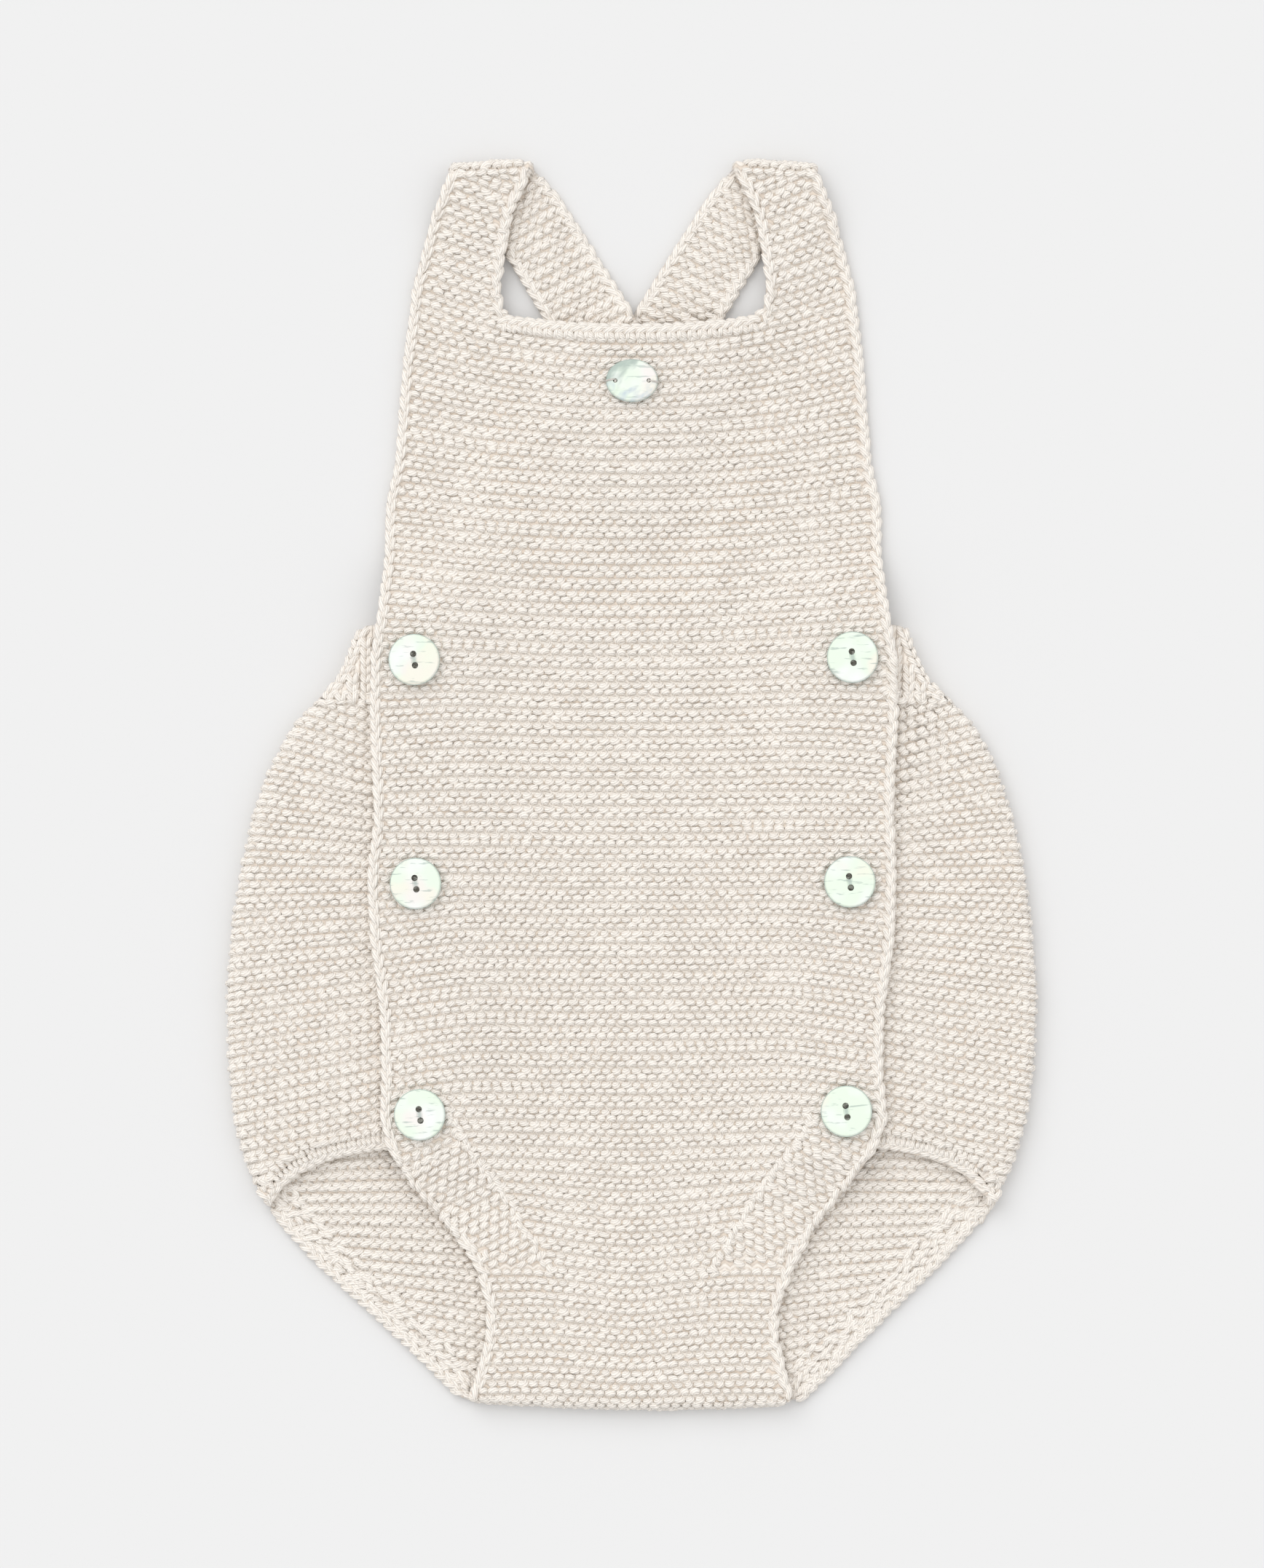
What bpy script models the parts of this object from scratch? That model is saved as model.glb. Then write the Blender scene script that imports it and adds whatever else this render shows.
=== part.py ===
"""Knit overalls for a baby, laid flat with the front up.

X runs across the garment, +Y up to the shoulders and +Z up from the table.
The origin is the middle of the outline, on the table. Left and right are the viewer's.
The script works in metres. Its tables are in millimetres and hold, in each row, one
section across the garment; left, right, outer and inner are distances from the middle.
"""
import math
from collections import namedtuple

import bmesh
import bpy
import numpy as np
from mathutils import Vector

MM = 0.001

# Cloth
WALL = 2.8 * MM                 # one layer of garter stitch
GAP = 0.3 * MM                  # left between pieces
FOLD_SPACE = 1.0 * MM           # air between the two layers of a fold
FOLD_RADIUS = FOLD_SPACE / 2    # inside of a fold
FOLD_REACH = FOLD_RADIUS + WALL  # from a fold's axis to its outside
FOLD_STEPS = 4
EDGE_BEVEL = 0.6 * MM

# Heights of a layer's inner face above the table
FLOOR_FACE = WALL                              # the bottom layer, whose outer face is down
OVER_FOLD = WALL + FOLD_SPACE                  # the upper layer of a fold
ON_ONE_LAYER = WALL + GAP
ON_TWO_LAYERS = OVER_FOLD + WALL + GAP

# Raised chain edge of the front panel and straps
RELIEF = 0.5 * MM
EDGE_STEPS = (0.0, 1.2 * MM, 2.6 * MM)         # distances in from a knitted edge
EDGE_SHARE = (0.3, 1.0, 0.0)                   # share of the relief at each of them
NECK_STEPS = (0.0, 1.8 * MM, 3.8 * MM)         # the bound-off band is wider
NECK_SHARE = (0.6, 1.0, 0.0)

# Ribbed waistband
RIB_TOP = 46.3 * MM
RIB_BOTTOM = 25.7 * MM
RIB_PITCH = 3.6 * MM
RIB_CREST = 81.0 * MM                          # distance of one crest from the middle
RIB_START = 78.2 * MM                          # ribs are raised where the front panel ends

# Flaps and their hems
FLAP_INNER = 54.0 * MM                         # hidden edge of a flap, from the middle
FLAP_FADE = 22.0 * MM                          # the front panel comes down over this length
HEM_FADE = 16.0 * MM
BIB_FADE = 26.0 * MM
BORDER_WIDTH = 3.0 * MM
BORDER_GAP = 0.5 * MM                          # it twists round the fold, so it stands clear
BORDER_INSET = BORDER_WIDTH + BORDER_GAP
FOLD_END_Y = -119.5 * MM                       # where the hem rounds the side fold
FOLD_END_DROP = 2.5 * MM                       # the hem drops this much through the fold

# Crotch fold: a shallow arc, lowest a little right of the middle
CROTCH_LOW_Y = -183.0 * MM
CROTCH_LOW_X = 6.0 * MM
CROTCH_RISE = 2.0 * MM
CROTCH_SPAN = 50.0 * MM
CROTCH_TURN = 1.1 * MM                         # cloth of the front panel under the fold
CROTCH_FADE = 30.0 * MM                        # rows above the fold straighten over this length
BORDER_END_Y = -180.0 * MM

# Neckline
NECK_HALF = 37.8 * MM
NECK_SAG = 3.2 * MM
NECK_FADE = 40.0 * MM

# Straps
MIRROR_SHIFT = 0.8 * MM                        # the right strap sits this much further right
CROSS_MARGIN = 1.0 * MM                        # the upper strap starts down outside the lower
CROSS_FADE = 14.0 * MM
BIB_MARGIN = 3.0 * MM
STRAP_FADE = 20.0 * MM

# Buttons and tag
BUTTON_RADIUS = 7.5 * MM
BUTTON_THICK = 2.0 * MM
BUTTON_EDGE = 0.6 * MM
BUTTON_HOLE = 0.95 * MM                        # radius
BUTTON_HOLE_OFFSET = 1.68 * MM                 # from the button's middle
BUTTON_TILT = math.radians(9.0)                # the line through the two holes
GROOVE_DEPTH = 0.45 * MM
SIT_HEIGHT = 0.4 * MM                          # above the panel they are sewn to
TAG_HALF_WIDTH = 7.6 * MM
TAG_HALF_HEIGHT = 6.25 * MM
TAG_THICK = 1.6 * MM
TAG_HOLE = 0.65 * MM
TAG_HOLE_OFFSET = 4.9 * MM
ROUND_SIDES = 28
HOLE_SIDES = 12

Section = namedtuple("Section", "y left right")
Rung = namedtuple("Rung", "outer_x outer_y inner_x inner_y")
Hem = namedtuple("Hem", "x y")
Place = namedtuple("Place", "name x y")
Point = namedtuple("Point", "inner outer")
Step = namedtuple("Step", "along " + " ".join(Rung._fields))

FRONT_EDGE = (
    Section(136.8, 65.0, 65.8),
    Section(124.7, 66.7, 67.4),
    Section(108.7, 68.0, 68.6),
    Section(93.0, 69.3, 69.9),
    Section(82.0, 71.8, 72.5),
    Section(66.0, 72.2, 72.7),
    Section(50.0, 74.0, 74.8),
    Section(38.0, 75.9, 76.8),
    Section(22.0, 76.3, 77.4),
    Section(5.5, 75.7, 76.5),
    Section(-9.5, 75.1, 76.0),
    Section(-27.0, 77.0, 76.8),
    Section(-45.5, 76.1, 76.0),
    Section(-66.5, 73.3, 73.2),
    Section(-84.0, 72.9, 72.8),
    Section(-97.0, 73.2, 74.1),
    Section(-106.0, 71.4, 71.2),
    Section(-116.0, 65.0, 64.6),
    Section(-130.0, 53.1, 53.5),
    Section(-141.0, 45.9, 47.2),
    Section(-152.0, 42.5, 43.1),
    Section(-161.0, 42.5, 42.5),
    Section(-171.0, 44.8, 44.6),
    Section(-181.0, 47.8, 47.4),
)
RIB_OUTLINE = (
    Section(46.3, 79.0, 80.1),
    Section(39.6, 82.0, 82.8),
    Section(34.3, 83.9, 84.8),
    Section(28.9, 87.1, 88.2),
    Section(25.7, 90.4, 91.9),
)
SEAT_OUTLINE = (
    Section(25.4, 90.8, 92.3),
    Section(18.3, 98.2, 99.2),
    Section(10.3, 103.1, 104.4),
    Section(2.3, 107.1, 107.8),
    Section(-8.3, 110.9, 111.3),
    Section(-24.3, 114.4, 115.0),
    Section(-40.2, 117.1, 117.1),
    Section(-61.5, 118.8, 118.7),
    Section(-82.8, 118.2, 117.9),
    Section(-98.7, 116.5, 115.6),
    Section(-109.4, 113.8, 112.6),
    Section(-120.0, 109.2, 107.6),
    Section(-130.7, 101.5, 99.6),
    Section(-141.3, 91.8, 89.6),
    Section(-151.9, 80.0, 78.6),
    Section(-162.6, 68.5, 67.8),
    Section(-173.2, 57.5, 57.4),
    Section(-183.0, 47.4, 47.6),
)
FLAP_HEM = (
    Hem(54.0, -102.6),
    Hem(66.0, -102.8),
    Hem(75.0, -103.5),
    Hem(84.0, -105.0),
    Hem(92.0, -107.4),
    Hem(99.0, -110.8),
    Hem(104.0, -114.6),
    Hem(106.0, -117.5),
)
STRAP_FRONT = (
    Rung(65.0, 137.1, 37.4, 137.1),
    Rung(64.0, 145.0, 38.6, 145.0),
    Rung(61.2, 155.5, 37.2, 155.5),
    Rung(58.2, 166.3, 35.1, 166.8),
    Rung(53.6, 177.9, 28.6, 179.5),
)
STRAP_BACK = (
    Rung(53.6, 177.9, 28.6, 179.5),
    Rung(46.0, 167.4, 22.2, 172.6),
    Rung(36.7, 154.1, 15.8, 163.0),
    Rung(26.5, 137.2, 5.1, 146.0),
    Rung(-29.5, 46.6, -55.3, 46.6),
)
BUTTONS = (
    Place("button_left_top", -63.3, 36.0),
    Place("button_left_middle", -62.9, -29.2),
    Place("button_left_bottom", -61.7, -96.5),
    Place("button_right_top", 64.3, 36.7),
    Place("button_right_middle", 63.5, -28.7),
    Place("button_right_bottom", 62.5, -95.5),
)
TAG = Place("tag", 0.1, 117.3)

LEFT, RIGHT = -1, 1

KNIT_COLOUR = (0.80, 0.73, 0.65)
BORDER_COLOUR = (0.83, 0.76, 0.68)
SHELL_COLOUR = (0.86, 0.92, 0.86)


# ---- small mathematics --------------------------------------------------------------

def ease(t):
    """0 to 1 along a soft S."""
    t = min(max(t, 0.0), 1.0)
    return t * t * (3 - 2 * t)


def fade(distance, length):
    """1 up to distance 0, then softly down to 0 at length."""
    return 1 - ease(distance / length)


def mix(a, b, share):
    return a + (b - a) * share


def smooth_column(rows, along, column):
    """A smooth function through one column of a table, both in millimetres, as metres."""
    stations = np.array([getattr(row, along) for row in rows]) * MM
    values = np.array([getattr(row, column) for row in rows]) * MM
    order = np.argsort(stations)
    stations, values = stations[order], values[order]
    slopes = np.gradient(values, stations)

    def at(station):
        i = int(np.clip(np.searchsorted(stations, station) - 1, 0, len(stations) - 2))
        span = stations[i + 1] - stations[i]
        t = min(max((station - stations[i]) / span, 0.0), 1.0)
        rise = values[i + 1] - values[i]
        ease_in = t * (1 - t) ** 2 * slopes[i] * span
        ease_out = t * t * (t - 1) * slopes[i + 1] * span
        return float(values[i] + rise * t * t * (3 - 2 * t) + ease_in + ease_out)

    return at


def spread(start, end, count):
    """count + 1 numbers from start to end."""
    return [mix(start, end, i / count) for i in range(count + 1)]


FRONT_LEFT = smooth_column(FRONT_EDGE, "y", "left")
FRONT_RIGHT = smooth_column(FRONT_EDGE, "y", "right")
SEAT_LEFT = smooth_column(SEAT_OUTLINE, "y", "left")
SEAT_RIGHT = smooth_column(SEAT_OUTLINE, "y", "right")
RIB_LEFT = smooth_column(RIB_OUTLINE, "y", "left")
RIB_RIGHT = smooth_column(RIB_OUTLINE, "y", "right")
HEM_Y = smooth_column(FLAP_HEM, "x", "y")
HEM_REACH = FLAP_HEM[-1].x * MM


# ---- heights of the layers ----------------------------------------------------------

def sideways(side, distance):
    """X of a point this far from the middle, on the strap's own side."""
    return -distance if side == LEFT else distance + MIRROR_SHIFT


def strap_clearance(side, x, y):
    """Distance outside the back part of one strap, negative within its width."""
    upper, lower = STRAP_BACK[2], STRAP_BACK[-1]
    ends = []
    for rung in (upper, lower):
        middle_x = sideways(side, (rung.outer_x + rung.inner_x) / 2 * MM)
        ends.append(Vector((middle_x, (rung.outer_y + rung.inner_y) / 2 * MM)))
    along = (ends[1] - ends[0]).normalized()
    across = Vector((sideways(side, upper.outer_x * MM), upper.outer_y * MM)) - ends[0]
    half_width = abs(along.cross(across))
    return abs(along.cross(Vector((x, y)) - ends[0])) - half_width


def over_strap(side, x, y, margin, length):
    """Share of a strap's thickness that lifts what lies over it."""
    return fade(strap_clearance(side, x, y) - margin, length)


def crotch_y(x):
    """Outermost line of the crotch fold."""
    return CROTCH_LOW_Y + CROTCH_RISE * ((x - CROTCH_LOW_X) / CROTCH_SPAN) ** 2


def front_height(x, y):
    """Inner face of the front panel, over whatever lies beneath it."""
    crossed = sum(over_strap(side, x, y, BIB_MARGIN, STRAP_FADE) for side in (LEFT, RIGHT))
    bib = ON_ONE_LAYER * crossed
    on_flap = fade(FLAP_INNER - GAP - BIB_MARGIN / 2 - abs(x), FLAP_FADE)
    hem_low = HEM_Y(max(abs(x), FLAP_INNER)) - BORDER_INSET
    on_flap *= fade(hem_low - BIB_MARGIN / 2 - y, HEM_FADE)
    seat = mix(ON_ONE_LAYER, ON_TWO_LAYERS, on_flap)
    near_crotch = fade(y - crotch_y(x) - FOLD_REACH, HEM_FADE)
    seat = mix(seat, OVER_FOLD, near_crotch)
    return mix(bib, seat, fade(y - RIB_TOP - BIB_MARGIN / 2, BIB_FADE))


# ---- meshes -------------------------------------------------------------------------

def knit_material(name, colour):
    material = bpy.data.materials.new(name)
    material.use_nodes = True
    shader = material.node_tree.nodes["Principled BSDF"]
    shader.inputs["Base Color"].default_value = (*colour, 1.0)
    shader.inputs["Roughness"].default_value = 0.95
    shader.inputs["Metallic"].default_value = 0.0
    shader.inputs["Sheen Weight"].default_value = 0.3
    return material


def shell_material(name):
    material = bpy.data.materials.new(name)
    material.use_nodes = True
    shader = material.node_tree.nodes["Principled BSDF"]
    shader.inputs["Base Color"].default_value = (*SHELL_COLOUR, 1.0)
    shader.inputs["Roughness"].default_value = 0.25
    shader.inputs["Metallic"].default_value = 0.0
    shader.inputs["Coat Weight"].default_value = 0.5
    return material


def add_object(name, mesh, material, collection):
    piece = bpy.data.objects.new(name, mesh)
    piece.data.materials.append(material)
    collection.objects.link(piece)
    return piece


def cloth_wall(name, grids, material, collection):
    """A closed wall of cloth through rows of points, each with an inner and an outer face.

    A row runs left to right where its outer face is up, seen with the next row above it.
    """
    form = bmesh.new()
    pairs = {}

    def faces_of(point):
        if id(point) not in pairs:
            pairs[id(point)] = (form.verts.new(point.inner), form.verts.new(point.outer))
        return pairs[id(point)]

    for rows in grids:
        for row, next_row in zip(rows, rows[1:]):
            for corners in zip(row, row[1:], next_row[1:], next_row):
                inner, outer = zip(*[faces_of(point) for point in corners])
                form.faces.new(outer)
                form.faces.new(inner[::-1])
    opposite = {outer: inner for inner, outer in pairs.values()}
    rim = [edge for edge in form.edges if edge.is_boundary and edge.verts[0] in opposite]
    for edge in rim:
        start = edge.link_loops[0].vert
        end = edge.other_vert(start)
        form.faces.new((end, start, opposite[start], opposite[end]))

    mesh = bpy.data.meshes.new(name)
    form.to_mesh(mesh)
    form.free()
    mesh.shade_smooth()
    wall = add_object(name, mesh, material, collection)
    edge = wall.modifiers.new("soft edge", "BEVEL")
    edge.width = EDGE_BEVEL
    edge.segments = 1
    edge.limit_method = "ANGLE"
    edge.angle_limit = math.radians(60)
    return wall


def upper_point(x, y, height, relief=0.0):
    """A point of a layer whose outer face is up."""
    return Point(Vector((x, y, height)), Vector((x, y, height + WALL + relief)))


def lower_point(x, y, height=FLOOR_FACE):
    """A point of a layer whose outer face is down. height is its inner face."""
    return Point(Vector((x, y, height)), Vector((x, y, height - WALL)))


def fold_point(axis, outward, turn, relief=0.0):
    """A point round a fold: turn is 0 at the upper layer and pi at the lower one."""
    faces = []
    for radius in (FOLD_RADIUS, FOLD_REACH + relief):
        plan = axis + outward * radius * math.sin(turn)
        z = FLOOR_FACE + FOLD_RADIUS + radius * math.cos(turn)
        faces.append(Vector((plan.x, plan.y, z)))
    return Point(*faces)


def across_with_edges(left, right, count):
    """Places across a panel, closer together along its two edges, each with its relief."""
    rim = list(zip(EDGE_STEPS[:-1], EDGE_SHARE))
    places = [(left + step, share) for step, share in rim]
    places += [(place, 0.0) for place in spread(left + EDGE_STEPS[-1], right - EDGE_STEPS[-1], count)]
    places += [(right - step, share) for step, share in reversed(rim)]
    return places


# ---- front panel --------------------------------------------------------------------

FRONT_COLUMNS = 16
FRONT_ROWS = 44


def neck_drop(x):
    """How far the bound-off edge sags below its corners."""
    share = min(abs(x) / NECK_HALF, 1.0)
    return NECK_SAG * (1 - share * share)


def front_row(y, neck_share, crotch_share, top_relief):
    row = []
    for x, share in across_with_edges(-FRONT_LEFT(y), FRONT_RIGHT(y), FRONT_COLUMNS):
        bend = crotch_y(x) - CROTCH_LOW_Y
        station = y - neck_drop(x) * neck_share + bend * crotch_share
        between_straps = top_relief * ease((NECK_HALF - abs(x)) / EDGE_STEPS[-1])
        relief = RELIEF * max(share, between_straps)
        row.append(upper_point(x, station, front_height(x, station), relief))
    return row


def crotch_turn_rows():
    """The front panel's last rows, round the fold and a little way under it."""
    down = Vector((0.0, -1.0))
    start = CROTCH_LOW_Y + FOLD_REACH
    columns = across_with_edges(-FRONT_LEFT(start), FRONT_RIGHT(start), FRONT_COLUMNS)
    rows = []
    for turn in spread(0.0, math.pi, FOLD_STEPS)[1:]:
        fade_out = math.cos(turn / 2) ** 2
        rows.append([fold_point(Vector((x, crotch_y(x) + FOLD_REACH)), down, turn, RELIEF * share * fade_out)
                     for x, share in columns])
    rows.append([lower_point(x, crotch_y(x) + FOLD_REACH + CROTCH_TURN) for x, _ in columns])
    return rows


def make_front_panel(material, collection):
    top = FRONT_EDGE[0].y * MM
    bottom = CROTCH_LOW_Y + FOLD_REACH
    rows = []
    for step, share in zip(NECK_STEPS, NECK_SHARE):
        rows.append(front_row(top - step, 1.0, 0.0, share))
    start = top - NECK_STEPS[-1]
    for y in spread(start, bottom, FRONT_ROWS)[1:]:
        near_neck = fade(start - y, NECK_FADE)
        near_crotch = fade(y - bottom, CROTCH_FADE)
        rows.append(front_row(y, near_neck, near_crotch, 0.0))
    rows += crotch_turn_rows()
    rows.reverse()
    return cloth_wall("front_panel", [rows], material, collection)


# ---- back panel and waistband -------------------------------------------------------

FLAP_COLUMNS = 9
BACK_COLUMNS = 12
FOLDED_ROWS = 16
RIB_COLUMNS = 16
RIB_ROWS = 5
LEG_STATIONS = [y * MM for y in (-127.0, -134.0, -141.5, -149.0, -157.0, -165.0, -173.0)]
HEM_FOLD_STATIONS = (HEM_Y(HEM_REACH), FOLD_END_Y, FOLD_END_Y - FOLD_END_DROP)


def side_fold(side, outside, stations, relief):
    """Points round a side fold, from the upper layer to the lower one.

    stations holds Y at the upper layer, at the outside of the fold and at the lower layer.
    """
    points = []
    for turn in spread(0.0, math.pi, FOLD_STEPS):
        share = turn / math.pi * 2
        if share < 1:
            y = mix(stations[0], stations[1], share)
        else:
            y = mix(stations[1], stations[2], share - 1)
        axis = Vector((side * (outside - FOLD_REACH), y))
        reach = outside - FOLD_REACH * (1 - math.sin(turn))
        raised = relief(reach) * math.cos(turn / 2) ** 2
        points.append(fold_point(axis, Vector((side, 0.0)), turn, raised))
    return points


def flap_points(side, outside, station, relief, count):
    """Points across one flap, from its hidden edge to the fold.

    station gives Y at a distance from the middle, where HEM_REACH is the fold.
    """
    reach = outside - FOLD_REACH
    points = []
    for share in spread(0.0, 1.0, count)[:-1]:
        y = station(mix(FLAP_INNER, HEM_REACH, share))
        distance = mix(FLAP_INNER, reach, share)
        points.append(upper_point(side * distance, y, OVER_FOLD, relief(distance)))
    return points


def plain(distance):
    """No relief."""
    return 0.0


def folded_row(outsides, station, fold_stations, relief, flap_count, back_count):
    """One row of a piece that is folded to the front at both sides."""
    wings = []
    for side, outside in zip((LEFT, RIGHT), outsides):
        wing = flap_points(side, outside, station, relief, flap_count)
        wings.append(wing + side_fold(side, outside, fold_stations, relief))
    left, right = wings
    ends = (left[-1].inner, right[-1].inner)
    middle = []
    for share in spread(0.0, 1.0, back_count)[1:-1]:
        place = ends[0].lerp(ends[1], share)
        middle.append(lower_point(place.x, place.y))
    return left + middle + right[::-1]


def leg_point(side, y):
    """A point of the back panel's leg edge, inside the outline by the border's width."""
    outline = SEAT_LEFT if side == LEFT else SEAT_RIGHT
    step = 1.0 * MM
    edge = Vector((side * outline(y), y))
    along = Vector((side * (outline(y - step) - outline(y + step)), -2 * step)).normalized()
    outward = Vector((side * abs(along.y), -abs(along.x)))
    return edge - outward * BORDER_INSET


def seam_y(x):
    """Where the back panel meets the front panel under the crotch fold."""
    return crotch_y(x) + FOLD_REACH + CROTCH_TURN + GAP


def leg_end(side):
    """The back panel's corner, where its leg edge reaches the seam."""
    y = CROTCH_LOW_Y
    for _ in range(6):
        place = leg_point(side, y)
        y += seam_y(place.x) - place.y
    return place


def level_row(left, right):
    """Places across the single layer between the legs."""
    return [left.lerp(right, share) for share in spread(0.0, 1.0, BACK_COLUMNS)]


def make_back_panel(material, collection):
    """Rows fan out from the waistband to the hem on the flaps, and run level on the back."""
    top = SEAT_OUTLINE[0].y * MM
    folded = []
    for share in spread(0.0, 1.0, FOLDED_ROWS):
        y = mix(top, FOLD_END_Y, share)
        fold_stations = [mix(top, end, share) for end in HEM_FOLD_STATIONS]
        folded.append(folded_row((SEAT_LEFT(y), SEAT_RIGHT(y)), lambda x: mix(top, HEM_Y(x), share),
                                 fold_stations, plain, FLAP_COLUMNS, BACK_COLUMNS))
    wing = FLAP_COLUMNS + FOLD_STEPS
    single = [folded[-1][wing:len(folded[-1]) - wing]]
    for y in LEG_STATIONS:
        places = level_row(leg_point(LEFT, y), leg_point(RIGHT, y))
        single.append([lower_point(place.x, place.y) for place in places])
    places = level_row(leg_end(LEFT), leg_end(RIGHT))
    single.append([lower_point(place.x, seam_y(place.x)) for place in places])
    return cloth_wall("back_panel", [folded, single], material, collection)


def rib_relief(distance):
    wave = (1 + math.cos(2 * math.pi * (distance - RIB_CREST) / RIB_PITCH)) / 2
    return RELIEF * wave * ease((distance - RIB_START) / (RIB_PITCH / 4))


def make_waist_rib(material, collection):
    """The band, with its ribs raised on the two ends that are folded to the front."""
    rows = []
    for y in spread(RIB_TOP, RIB_BOTTOM, RIB_ROWS):
        outsides = (RIB_LEFT(y), RIB_RIGHT(y))
        rows.append(folded_row(outsides, lambda x: y, (y, y, y), rib_relief, RIB_COLUMNS, BACK_COLUMNS))
    return cloth_wall("waist_rib", [rows], material, collection)


# ---- leg borders --------------------------------------------------------------------

BORDER_SIDES = 8
BORDER_LEG_STEPS = 16


def border_path(side):
    """Points of the cloth's edge round the leg, with the way out from the cloth at each."""
    outside = SEAT_LEFT(FOLD_END_Y) if side == LEFT else SEAT_RIGHT(FOLD_END_Y)
    points = flap_points(side, outside, HEM_Y, plain, FLAP_COLUMNS)
    points += side_fold(side, outside, HEM_FOLD_STATIONS, plain)
    for y in spread(LEG_STATIONS[0], BORDER_END_Y, BORDER_LEG_STEPS):
        place = leg_point(side, y)
        points.append(lower_point(place.x, place.y))

    middles = [(point.inner + point.outer) / 2 for point in points]
    path = []
    for i, point in enumerate(points):
        along = middles[min(i + 1, len(points) - 1)] - middles[max(i - 1, 0)]
        outward = (point.outer - point.inner).cross(along) * -side
        path.append((point, outward.normalized()))
    return path


def make_leg_border(side, name, material, collection):
    """A loft of rounded sections that follows the cloth's edge round the leg."""
    form = bmesh.new()
    rings = []
    to_corner = 1 / math.cos(math.pi / BORDER_SIDES)
    for point, outward in border_path(side):
        rise = (point.outer - point.inner) / 2
        middle = point.inner + rise + outward * (BORDER_GAP + BORDER_WIDTH / 2)
        ring = []
        for i in range(BORDER_SIDES):
            turn = 2 * math.pi * (i + 0.5) / BORDER_SIDES
            reach = outward * BORDER_WIDTH / 2 * math.cos(turn)
            ring.append(form.verts.new(middle + (reach + rise * math.sin(turn)) * to_corner))
        rings.append(ring)
    for ring, next_ring in zip(rings, rings[1:]):
        for i in range(BORDER_SIDES):
            j = (i + 1) % BORDER_SIDES
            form.faces.new((ring[i], ring[j], next_ring[j], next_ring[i]))
    form.faces.new(rings[0])
    form.faces.new(rings[-1])
    bmesh.ops.recalc_face_normals(form, faces=form.faces)
    mesh = bpy.data.meshes.new(name)
    form.to_mesh(mesh)
    form.free()
    mesh.shade_smooth()
    return add_object(name, mesh, material, collection)


# ---- straps -------------------------------------------------------------------------

STRAP_COLUMNS = 3
STRAP_FRONT_ROWS = 9
STRAP_BACK_ROWS = 27


def strap_edges(side, rungs, count):
    """Outer and inner edge of a strap in plan, at even steps along it."""
    middle = np.array([((rung.outer_x + rung.inner_x) / 2, (rung.outer_y + rung.inner_y) / 2)
                       for rung in rungs])
    steps = np.linalg.norm(np.diff(middle, axis=0), axis=1)
    lengths = np.concatenate([[0.0], np.cumsum(steps)])
    table = [Step(length, *rung) for length, rung in zip(lengths, rungs)]
    curves = [smooth_column(table, "along", column) for column in Rung._fields]
    edges = []
    for along in spread(0.0, lengths[-1] * MM, count):
        outer_x, outer_y, inner_x, inner_y = (curve(along) for curve in curves)
        edges.append((Vector((sideways(side, outer_x), outer_y)),
                      Vector((sideways(side, inner_x), inner_y))))
    return edges


def strap_row(side, edges, make_point):
    """One row across a strap. make_point takes a place in plan and its share of relief."""
    outer, inner = edges
    width = (inner - outer).length
    places = across_with_edges(0.0, width, STRAP_COLUMNS)
    row = [make_point(outer.lerp(inner, distance / width), share) for distance, share in places]
    return row if side == LEFT else row[::-1]


def make_strap(side, name, material, collection):
    front_edges = strap_edges(side, STRAP_FRONT, STRAP_FRONT_ROWS)
    back_edges = strap_edges(side, STRAP_BACK, STRAP_BACK_ROWS)
    corner, other_corner = front_edges[-1]
    axis = (other_corner - corner).normalized()
    outward = Vector((-axis.y, axis.x)) * -side

    def front_point(place, share):
        lifted = ON_ONE_LAYER * over_strap(side, place.x, place.y, BIB_MARGIN, STRAP_FADE)
        from_fold = -outward.dot(place - corner)
        height = mix(lifted, OVER_FOLD, fade(from_fold, CROSS_FADE))
        return upper_point(place.x, place.y, height, RELIEF * share)

    def back_point(place, share):
        lift = over_strap(RIGHT, place.x, place.y, CROSS_MARGIN, CROSS_FADE) if side == LEFT else 0.0
        return lower_point(place.x, place.y, FLOOR_FACE + ON_ONE_LAYER * lift)

    rows = [strap_row(side, edges, front_point) for edges in front_edges]
    for turn in spread(0.0, math.pi, FOLD_STEPS)[1:-1]:
        def turned_point(place, share):
            return fold_point(place, outward, turn, RELIEF * share * math.cos(turn / 2) ** 2)
        rows.append(strap_row(side, front_edges[-1], turned_point))
    rows += [strap_row(side, edges, back_point) for edges in back_edges]
    return cloth_wall(name, [rows], material, collection)


# ---- buttons and tag ----------------------------------------------------------------

def disc(name, radius_x, radius_y, thickness, collection):
    bpy.ops.mesh.primitive_cylinder_add(vertices=ROUND_SIDES, radius=1.0, depth=1.0)
    piece = bpy.context.active_object
    piece.name = name
    piece.scale = (radius_x, radius_y, thickness)
    bpy.ops.object.transform_apply(location=False, rotation=False, scale=True)
    for owner in list(piece.users_collection):
        owner.objects.unlink(piece)
    collection.objects.link(piece)
    edge = piece.modifiers.new("round edge", "BEVEL")
    edge.width = BUTTON_EDGE
    edge.segments = 1
    edge.limit_method = "ANGLE"
    edge.angle_limit = math.radians(60)
    return piece


def cut(piece, cutter, cutters):
    """Cut one shape out of a piece, and put the cutter away."""
    for owner in list(cutter.users_collection):
        owner.objects.unlink(cutter)
    cutters.objects.link(cutter)
    cutter.hide_render = True
    cutter.display_type = "WIRE"
    hole = piece.modifiers.new(cutter.name, "BOOLEAN")
    hole.operation = "DIFFERENCE"
    hole.object = cutter


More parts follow.
